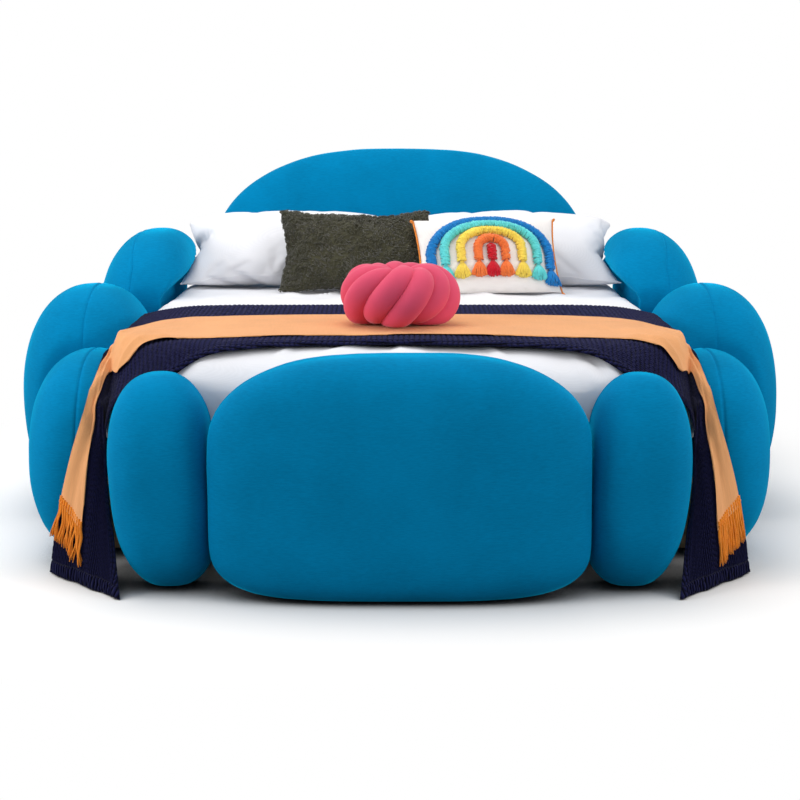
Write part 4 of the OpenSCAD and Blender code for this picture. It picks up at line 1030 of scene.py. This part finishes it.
# Places of the blanket's edge nearer the foot, from the bed's middle over its side to the floor
NEAR_EDGE = (
    (0, FOOT_Y + 135, 623), (350, FOOT_Y + 100, 623), (600, FOOT_Y + 15, 573),
    (INNER_X - 68, FOOT_Y + 12, 463), (INNER_X - 32, FOOT_Y + 8, 438), (INNER_X - 18, FOOT_Y - 4, 372),
    (INNER_X - 24, FOOT_Y - 30, 280), (INNER_X - 38, FOOT_Y - 66, 192), (INNER_X - 54, FOOT_Y - 122, 97),
    (INNER_X - 76, FOOT_Y - 198, 3))
# The same for its edge nearer the head
FAR_EDGE = (
    (0, FOOT_Y + 987, 623), (350, FOOT_Y + 984, 623), (600, FOOT_Y + 965, 583),
    (INNER_X - 55, FOOT_Y + 850, 568), (INNER_X - 10, FOOT_Y + 680, 550), (INNER_X + 15, FOOT_Y + 470, 513),
    (INNER_X + 32, FOOT_Y + 240, 490), (INNER_X + 40, NOTCH_Y + 10, 425), (INNER_X + 88, NOTCH_Y - 22, 262),
    (INNER_X + 148, NOTCH_Y - 4, 3))
# How far across the blanket the throw's two edges lie at those places
NEAR_SHARE = (0.14, 0.145, 0.145, 0.11, 0.2, 0.42, 0.65, 0.7, 0.57, 0.5)
FAR_SHARE = (0.66, 0.66, 0.62, 0.43, 0.39, 0.64, 0.93, 0.96, 0.97, 0.975)
# Degrees by which the layers of both cloths lean outwards there
LAYER_TILTS = (0, 2, 12, 24, 20, 10, 24, 58, 78, 88)
# Rows of the grid on each side of the bed's middle, for the blanket and for the throw
SHEET_ROWS, THROW_ROWS = 24, 22
# The throw's first column in the blanket's grid, how many it has, and the one in its middle
THROW_FIRST, THROW_COLS = 3, 5
THROW_MIDDLE = THROW_FIRST + (THROW_COLS - 1) / 2
# Room between the pads and the blanket's middle, column by column from the foot
PAD_ROOM = KNIT_T / 2 + np.array([3, 5] + [6] * 8)
# How far the blanket stands off the duvet's sunken edge, and where and how it turns down there
SHOULDER_LIFT, SHOULDER_ROOM, FALL_R = 0.3, 19, 20
EDGE_X, EDGE_Y = INNER_X - 5, ROOM_L / 2 - 5
# Height of the throw over the blanket's middle, and its added room where both hang
THROW_LOW, FOLD_ROOM = KNIT_T / 2 + LAY_GAP, 5
# Height of the knitting's relief, the hems' length, and the size of the stitches' places there
STITCH_T, HEM_L, HEM_STITCH = 5.2, 34, (0.63, 0.39)
# The fringe's length, its tassels, how far down their knots are, and the points of a strand
FRINGE_L, FRINGE_COUNT, KNOT_AT, STRAND_POINTS = 112, 12, 13, 14


def on_duvet(x, y):
    """Height of the blanket's middle over the duvet, rounded off outside the mattress's edge."""
    z = duvet_height(np.minimum(x, EDGE_X), np.maximum(y, MATTRESS_Y - EDGE_Y))
    out = np.maximum(0, -inside(x, y - MATTRESS_Y, EDGE_X, EDGE_Y, MATTRESS_CORNER))
    near = FALL_R - np.sqrt(np.maximum(0, FALL_R ** 2 - out * out))
    fall = np.where(out < FALL_R, near, FALL_R + 20 * (out - FALL_R))
    low = DUVET_TOP - z
    lift = np.minimum(SHOULDER_ROOM, SHOULDER_LIFT * low + 5 * smooth(low / 4))
    return z + LAY_GAP + KNIT_T / 2 + lift - fall


def clear_of(shape, q, lean=0):
    """Points moved straight out from a pod's middle until there is room for the cloth."""
    middle, high = pod_middle(shape)
    c = np.array([shape.x, shape.y, middle]) + np.zeros_like(q)
    c[..., 0] += (q[..., 2] - middle) * math.tan(math.radians(lean))
    u = np.abs(q - c) / (np.array([shape.half_w, shape.half_l, high]) + PAD_ROOM[:, None])
    n = roundness(shape, u, q[..., 2] >= middle)
    return c + (q - c) / np.minimum(n, 1)[..., None]


def clear_of_pods(q):
    q = clear_of(SIDE_MIDDLE, clear_of(SIDE_FRONT, q))
    near = smooth((FOOT_Y + 14 - q[..., 1]) / 14)[..., None]
    return mix(q, clear_of(FOOT_CORNER, q, CORNER_LEAN), near)


def blanket_place(s, v):
    """Points of the blanket's middle at places s down its edges and shares v of the way across."""
    near, far = curve(NEAR_EDGE, s), curve(FAR_EDGE, s)
    swell = mix(1, 0.6, smooth((s - 3) / 1.5) * (1 - smooth((s - 5.2) / 1.6)))
    x, y = mix(near[..., 0], far[..., 0], v), mix(near[..., 1], far[..., 1], v)
    z = mix(near[..., 2], far[..., 2], v ** swell)
    z = np.maximum(np.where(s < 2.6, 0, z), on_duvet(x, y))
    return clear_of_pods(np.stack([x, y, z], -1))


def blanket_columns(s):
    """Shares of the way across at which the grid's ten columns lie; five of them carry the throw."""
    a, b = curve(NEAR_SHARE, s), curve(FAR_SHARE, s)
    throw = [mix(a, b, k / (THROW_COLS - 1)) for k in range(THROW_COLS)]
    return np.stack([0 * a, a * 0.35, a * 0.7, *throw, (1 + b) / 2, 1 + 0 * b], -1)


def blanket_grid():
    """Places of the blanket's middle, and the way its layers lie over each other, row by row."""
    s = (len(NEAR_EDGE) - 1) * np.arange(SHEET_ROWS + 1) / SHEET_ROWS
    columns = blanket_columns(s)
    g = blanket_place(s[:, None] + 0 * columns, columns)
    wide = g.copy()
    wide[:, 1:-1] = (g[:, :-2] + g[:, 2:]) / 2
    eased = 0.4 * g + 0.3 * wide
    eased[1:-1] += 0.15 * (g[:-2] + g[2:])
    eased[..., 2] = np.maximum(eased[..., 2], on_duvet(eased[..., 0], eased[..., 1]))
    g[7:-1] = clear_of_pods(eased)[7:-1]
    tilt = np.radians(curve(LAYER_TILTS, s))
    heading = np.radians(mix(-12, -52, smooth((s - 4) / 3)))
    way = np.stack([np.sin(tilt) * np.cos(heading), np.sin(tilt) * np.sin(heading), np.cos(tilt)], -1)
    flip = np.array([-1, 1, 1])
    return np.concatenate([g[:0:-1] * flip, g]), np.concatenate([way[:0:-1] * flip, way])


GRID, WAY = blanket_grid()
COLUMNS = GRID.shape[1] - 1


def row_curves(rows):
    """The grid's columns at fractional rows, counted from the middle of the bed."""
    return curve(GRID, rows + SHEET_ROWS)


def across(curves, c):
    """Points at fractional columns of each row."""
    k = np.arange(len(curves))[:, None]
    i = np.clip(np.floor(c).astype(int), 0, COLUMNS - 1)
    places = (curves[k, np.clip(i + step, 0, COLUMNS)] for step in (-1, 0, 1, 2))
    return spline(*places, (c - i)[..., None])


def even_rows(count, last):
    """Fractional rows, evenly far apart along the middle of the throw."""
    rows = np.linspace(-last, last, 1201)
    line = across(row_curves(rows), np.full((len(rows), 1), THROW_MIDDLE))[:, 0]
    far = distances(line)
    return np.interp(np.linspace(0, far[-1], count), far, rows)


def cross_table(rows):
    """For each row: fine column places and their distances from the near edge."""
    c = np.linspace(0, COLUMNS, 145)
    points = across(row_curves(rows), np.broadcast_to(c, (len(rows), len(c))))
    far = np.cumsum(np.linalg.norm(np.diff(points, axis=1), axis=2), axis=1)
    return c, np.concatenate([np.zeros((len(rows), 1)), far], 1)


def along_distance(points):
    """Distance of each point from the middle row, along its own column."""
    step = np.linalg.norm(np.diff(points, axis=0), axis=2)
    far = np.concatenate([np.zeros((1, points.shape[1])), np.cumsum(step, axis=0)])
    return far - far[len(points) // 2]


def layer_way(rows):
    way = curve(WAY, rows + SHEET_ROWS)
    return way / np.linalg.norm(way, axis=1, keepdims=True)


def pleats(rows, d):
    """Soft folds along the part that hangs, by the distance from the near edge."""
    free = smooth((np.abs(rows) - 9) / 5)[:, None]
    fade = smooth(d / 40)
    return free * fade * (3.2 * np.sin(d / 21 + 0.06 * np.abs(rows)[:, None]) + 1.2 * np.sin(d / 9.3 + 1))


def stitches(u, v):
    """Relief of stocking stitch, 0 to 1: columns of V shapes along v."""
    a = np.abs(u / STITCH_W % 1 - 0.5)
    leg = np.sqrt(np.maximum(0, 1 - ((a - 0.25) / LEG_R) ** 2))
    r = (v / STITCH_H + STITCH_SLANT * a) % 1
    bead = np.sqrt(np.maximum(0, 1 - ((r - 0.5) / BEAD_R) ** 2))
    return leg * (1 - BEAD_SHARE + BEAD_SHARE * bead)


def rounded_edge(d, total, r):
    e = np.clip(np.minimum(d, total - d) / r, 0, 1)
    return np.sqrt(np.maximum(0, 1 - (1 - e) ** 2))


def sheet_faces(rows, wide, narrow):
    """Quads of a closed sheet whose upper and lower grids share their long edges."""
    upper = grid_quads(rows, wide)
    index = np.empty((rows, narrow), int)
    index[:, 0] = np.arange(rows) * wide
    index[:, -1] = np.arange(rows) * wide + wide - 1
    index[:, 1:-1] = rows * wide + np.arange(rows * (narrow - 2)).reshape(rows, -1)
    lower = index.ravel()[grid_quads(rows, narrow)]
    faces = upper[:, ::-1].tolist() + lower.tolist()
    faces.append(list(range(wide)) + index[0, 1:-1][::-1].tolist())
    top = (rows - 1) * wide
    faces.append(list(range(top, top + wide))[::-1] + index[-1, 1:-1].tolist())
    return faces


def closed_sheet(name, upper, lower, place, under):
    """A cloth's mesh from its upper and lower grids, which keeps the points' places on the cloth."""
    points = np.concatenate([upper.reshape(-1, 3), lower[:, 1:-1].reshape(-1, 3)])
    obj = mesh_object(name, points, sheet_faces(len(upper), upper.shape[1], lower.shape[1]))
    places = np.concatenate([place.reshape(-1, 2), under[:, 1:-1].reshape(-1, 2)])
    layer = obj.data.attributes.new("thread_place", "FLOAT_VECTOR", "POINT")
    flat = np.concatenate([places, np.zeros((len(places), 1))], 1) * MM
    layer.data.foreach_set("vector", flat.ravel())
    return obj


def blanket_level(rows, count, upper):
    """Points of the blanket's upper or lower side, and their distances across and along it."""
    table, far = cross_table(rows)
    total = far[:, -1:]
    d = np.linspace(0, 1, count)[None, :] * total
    c = np.array([np.interp(d[k], far[k], table) for k in range(len(rows))])
    middle = across(row_curves(rows), c)
    v = along_distance(middle)
    to_end = np.minimum(v - v[0], v[-1] - v)
    place = np.stack([d - 0.5 * total + 1.6 * noise(middle, 55, 91), v + 2.2 * noise(middle, 70, 92)], -1)
    place = np.where((to_end < HEM_L)[..., None], place * HEM_STITCH, place)
    border = np.exp(-((to_end - HEM_L - 1) / 2.5) ** 2)
    rough = STITCH_T * stitches(place[..., 0], place[..., 1]) * (1 - border)
    rough = rough + fractal(middle, 60, 2, 90) * 0.5
    roll = 5 * np.exp(-((d - 13) / 8) ** 2)
    rim = rounded_edge(d, total, 7)
    thick = (KNIT_T / 2 - 4.6 + rough + roll) * rim * (0.3 + 0.7 * smooth(to_end / 8))
    move = pleats(rows, d) + (thick if upper else -(KNIT_T / 2 - 1) * rim)
    return middle + move[..., None] * layer_way(rows)[:, None], place


def make_blanket():
    rows_n, wide, narrow = ((961, 401, 40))
    rows = even_rows(rows_n, SHEET_ROWS)
    (upper, place), (lower, under) = blanket_level(rows, wide, True), blanket_level(rows, narrow, False)
    lower[..., 2] = np.maximum(lower[..., 2], 1)
    upper[..., 2] = np.maximum(upper[..., 2], 2)
    obj = closed_sheet("knitted_blanket_cloth", upper, lower, place, under)
    return finished(obj, KNIT, "root", "knitted_blanket")


def throw_level(rows, k, up):
    """Points over the throw's rows at shares k of its width, and their distances from the near edge."""
    curves, way = row_curves(rows), layer_way(rows)
    c = THROW_FIRST + k * (THROW_COLS - 1)
    middle = across(curves, c)
    table, far = cross_table(rows)
    d = np.array([np.interp(c[i], table, far[i]) for i in range(len(rows))])
    room = FOLD_ROOM * smooth((np.abs(rows) - 4) / 3)[:, None]
    move = THROW_LOW + room + up + pleats(rows, d)
    return middle + move[..., None] * way[:, None], d


def throw_folds(rows, k):
    """Shallow folds of loose cloth, mostly where it turns down over the mattress."""
    turn = np.exp(-((np.abs(rows) - 8) / 4) ** 2)[:, None]
    p = np.stack([np.broadcast_to(rows[:, None] * 30, k.shape), k * 220, 0 * k], -1)
    ripple = np.maximum(0, noise(p, 60, 44)) * 3 + np.maximum(0, noise(p * (0.35, 1, 1), 34, 45)) * 5 * turn
    r = np.abs(rows)[:, None]
    along = smooth((r - 4.9) / 0.7) * (1 - smooth((r - 8.6) / 1.6))
    at = 0.09 + 0.035 * np.sin(r * 1.1)
    ridge = 10 * np.exp(-((k - at) / 0.055) ** 2) + 4 * np.exp(-((k - at - 0.3) / 0.09) ** 2)
    return ripple * (1 - 0.6 * along) + ridge * along


def make_throw():
    rows_n, wide, narrow = ((801, 121, 30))
    rows = even_rows(rows_n, THROW_ROWS)
    edge = 0.012 * np.sin(rows * 1.9) + 0.01 * np.sin(rows * 0.83 + 1)
    levels, places = [], []
    for count, upper in ((wide, True), (narrow, False)):
        k = np.linspace(0, 1, count)[None, :]
        k = np.clip(k + edge[:, None] * (1 - 2 * k) ** 3, 0, 1)
        end = rounded_edge(k * 100, 100, 1.2)
        height = 0.6 + throw_folds(rows, k) + (3.2 * end if upper else 0)
        points, d = throw_level(rows, k, height)
        levels.append(points)
        places.append(np.stack([d, along_distance(points)], -1))
    upper, lower = levels
    lower[:, 0], lower[:, -1] = upper[:, 0], upper[:, -1]
    obj = closed_sheet("linen_throw", upper, lower, *places)
    return finished(obj, LINEN, "root", "woven_throw")


def make_fringe(side, word):
    """Knotted tassels along one end of the throw, hanging over the blanket."""
    rng = np.random.default_rng(30 + side)
    fringe = Bunch()
    strands = 6
    rows = side * np.array([THROW_ROWS - 0.25, THROW_ROWS + 1.0])
    k = np.broadcast_to((np.arange(FRINGE_COUNT) + 0.5) / FRINGE_COUNT, (2, FRINGE_COUNT))
    out = layer_way(rows[1:])[0]
    t = np.linspace(0, 1, STRAND_POINTS)
    turn = np.linspace(0, 2 * math.pi, 13)[:, None]
    for start, later in zip(*throw_level(rows, k, 3.0)[0]):
        down = (later - start) / np.linalg.norm(later - start) + (0, 0, -0.18)
        down /= np.linalg.norm(down)
        wide = np.cross(down, out)
        wide /= np.linalg.norm(wide)
        drift, sway = rng.normal(0, 5), rng.uniform(0, 6)
        for a in 2 * math.pi * np.arange(strands) / strands:
            far = t * FRINGE_L * rng.uniform(0.93, 1.05)
            swing = rng.uniform(0.6, 1.6) * np.sin(t * rng.uniform(5, 9) + rng.uniform(0, 6))
            drifting = drift * t * t + 3 * np.sin(t * 6 + sway)
            wave = swing * smooth((far - 18) / 30) + drifting * smooth((far - 14) / 40)
            waist = 0.55 + 0.45 * np.minimum(1, np.abs(far - KNOT_AT) / 12)
            spread = 2.4 * waist + 2.2 * smooth((far - 60) / 60)
            p = (start + down * far[:, None] + wide * (math.cos(a) * spread + wave)[:, None]
                 + out * (math.sin(a) * spread * 0.7 + 1.5 + 0.5 * wave)[:, None])
            p[:, 2] = np.maximum(p[:, 2], 4)
            fringe.tube(p, np.linspace(1.9, 1.4, STRAND_POINTS), 5, out)
        knot = start + down * KNOT_AT + out * 1.5
        for lift in (-1.6, 1.6):
            ring = knot + down * lift + 3.0 * (wide * np.cos(turn) + out * np.sin(turn))
            fringe.tube(ring, 1.6, 5, down)
    obj = fringe.made("%s_orange_fringe" % word)
    return finished(obj, FRINGE, "root", "%s_fringe" % word)


def make_cloths():
    blanket = make_blanket()
    throw = make_throw()
    fringes = [make_fringe(side, word) for side, word in SIDES]


# Materials of the solids that stay

def dress_solids():
    plywood = timber("plywood", (0.62, 0.42, 0.22), (2, 2, 14), 0.2)
    pine = timber("pine", (0.66, 0.45, 0.24), (3, 16, 16), 0.22)
    birch = timber("birch", (0.74, 0.56, 0.34), (2, 22, 22), 0.16)
    black = plain("black plastic", (0.02, 0.02, 0.022), 0.5, 0, 500, 0.15)
    steel = plain("zinc plated steel", (0.55, 0.56, 0.58), 0.38, 1, 900, 0.08)
    kinds = (
        (plywood, ("_core",)), (pine, ("_rail", "_ledge", "centre_legs")), (birch, ("_slats",)),
        (black, ("_holders", "_feet", "floor_glides")),
        (steel, ("_brackets", "_bolts", "_hangers", "tee_nuts")))
    for name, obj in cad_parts.items():
        for material, endings in kinds:
            if name.endswith(endings):
                obj.data.materials.clear()
                obj.data.materials.append(material)



# Floor, lamps and camera

# The floor's half size in millimetres, and the half sizes in metres of the oval that takes the shadow and the
# painted contact shadow
FLOOR_FAR, FLOOR_NEAR = 30000, (1.12, 1.28)
# Each lamp's place, the place it points at, its size and its power
LAMPS = {
    "overhead": ((-0.6, 0.4, 4.6), (0, 0, 0.4), 4.0, 113),
    "key": ((-4.9, -3.5, 2.4), (0, -0.3, 0.4), 2.4, 116),
    "fill": ((4.9, -3.5, 2.4), (0, -0.3, 0.4), 2.4, 92),
    "left side": ((-4.2, -0.4, 1.3), (0, -0.4, 0.4), 2.2, 44),
    "right side": ((4.2, -0.4, 1.3), (0, -0.4, 0.4), 2.2, 34),
}


def make_floor():
    """A floor that takes the bed's shadow near it, with a painted contact shadow that darkens its colour
    round the bed, and is white further away.
    """
    corners = [(x * FLOOR_FAR, y * FLOOR_FAR, 0) for x, y in ((-1, -1), (1, -1), (1, 1), (-1, 1))]
    obj = mesh_object("floor", corners, [(0, 1, 2, 3)])
    n = material_nodes("pale floor")
    seen = n.new("ShaderNodeLightPath", {}).outputs["Is Camera Ray"]
    # Ambient occlusion darkens the floor's own colour near the bed: a painted contact shadow, added to the
    # lamps' real shadow
    ao_for_painted_shadow = n.new("ShaderNodeAmbientOcclusion", {"Distance": 0.27}, samples=8).outputs["AO"]
    painted_shade = n.ramp(ao_for_painted_shadow, (0.05, 0.05, 0.05), (0.94, 0.925, 0.91), 0.12, 0.47)
    colour = n.new("ShaderNodeMix", {0: seen, 6: (0.3, 0.3, 0.3, 1), 7: painted_shade}, data_type="RGBA")
    n.fill(n.shader, {"Base Color": colour.outputs[2], "Roughness": 0.9, "Specular IOR Level": 0.0})
    axes = n.new("ShaderNodeSeparateXYZ", {0: n.coords}).outputs
    shares = [n.maths("ABSOLUTE", n.maths("DIVIDE", axes[k], FLOOR_NEAR[k])) for k in (0, 1)]
    distance = n.maths("POWER", n.maths("ADD", *(n.maths("POWER", share, 4) for share in shares)), 0.25)
    away = n.new("ShaderNodeMapRange", {"Value": distance, "From Min": 1.04, "From Max": 1.42},
                 interpolation_type="SMOOTHSTEP").outputs["Result"]
    white = n.new("ShaderNodeEmission", {"Color": (1, 1, 1, 1), "Strength": 1.0})
    seen_away = n.maths("MULTIPLY", away, seen)
    blend = n.new("ShaderNodeMixShader", {0: seen_away, 1: n.shader.outputs[0], 2: white.outputs[0]})
    n.fill(n.tree.nodes["Material Output"], {"Surface": blend.outputs[0]})
    obj.data.materials.append(n.owner)


def make_lamp(name, at, target, size, power_w):
    data = bpy.data.lights.new(name, "AREA")
    data.shape, data.size, data.energy = "DISK", size, power_w
    obj = bpy.data.objects.new(name, data)
    obj.location = at
    x, y, z = np.array(target) - np.array(at)
    obj.rotation_euler = (math.atan2(math.hypot(x, y), -z), 0, math.atan2(x, -y) + math.pi)
    bpy.context.scene.collection.objects.link(obj)


def make_light():
    """A world that the camera and glossy rays see as white, and the lamps."""
    scene = bpy.context.scene
    scene.view_settings.view_transform = "Standard"
    scene.world = scene.world or bpy.data.worlds.new("world")
    n = Nodes(scene.world, "Background")
    path = n.new("ShaderNodeLightPath", {}).outputs
    seen = n.maths("MAXIMUM", path["Is Camera Ray"], path["Is Glossy Ray"])
    level = n.new("ShaderNodeMapRange", {"Value": seen, "To Min": 0.55, "To Max": 1.0}).outputs["Result"]
    n.fill(n.shader, {"Color": (1, 1, 1, 1), "Strength": level})
    for name, values in LAMPS.items():
        make_lamp(name, *values)


def make_camera():
    data = bpy.data.cameras.new("camera")
    data.lens, data.sensor_width = 80.8, 36
    obj = bpy.data.objects.new("camera", data)
    obj.location = (0, -5.406, 1.210)
    obj.rotation_euler = (math.radians(80.48), 0, 0)
    bpy.context.scene.collection.objects.link(obj)
    bpy.context.scene.camera = obj


make_camera()
make_pods()
make_mattress()
make_duvet()
make_pillows()
make_fur()
make_rainbow()
make_knot()
make_cloths()
dress_solids()
make_floor()
make_light()
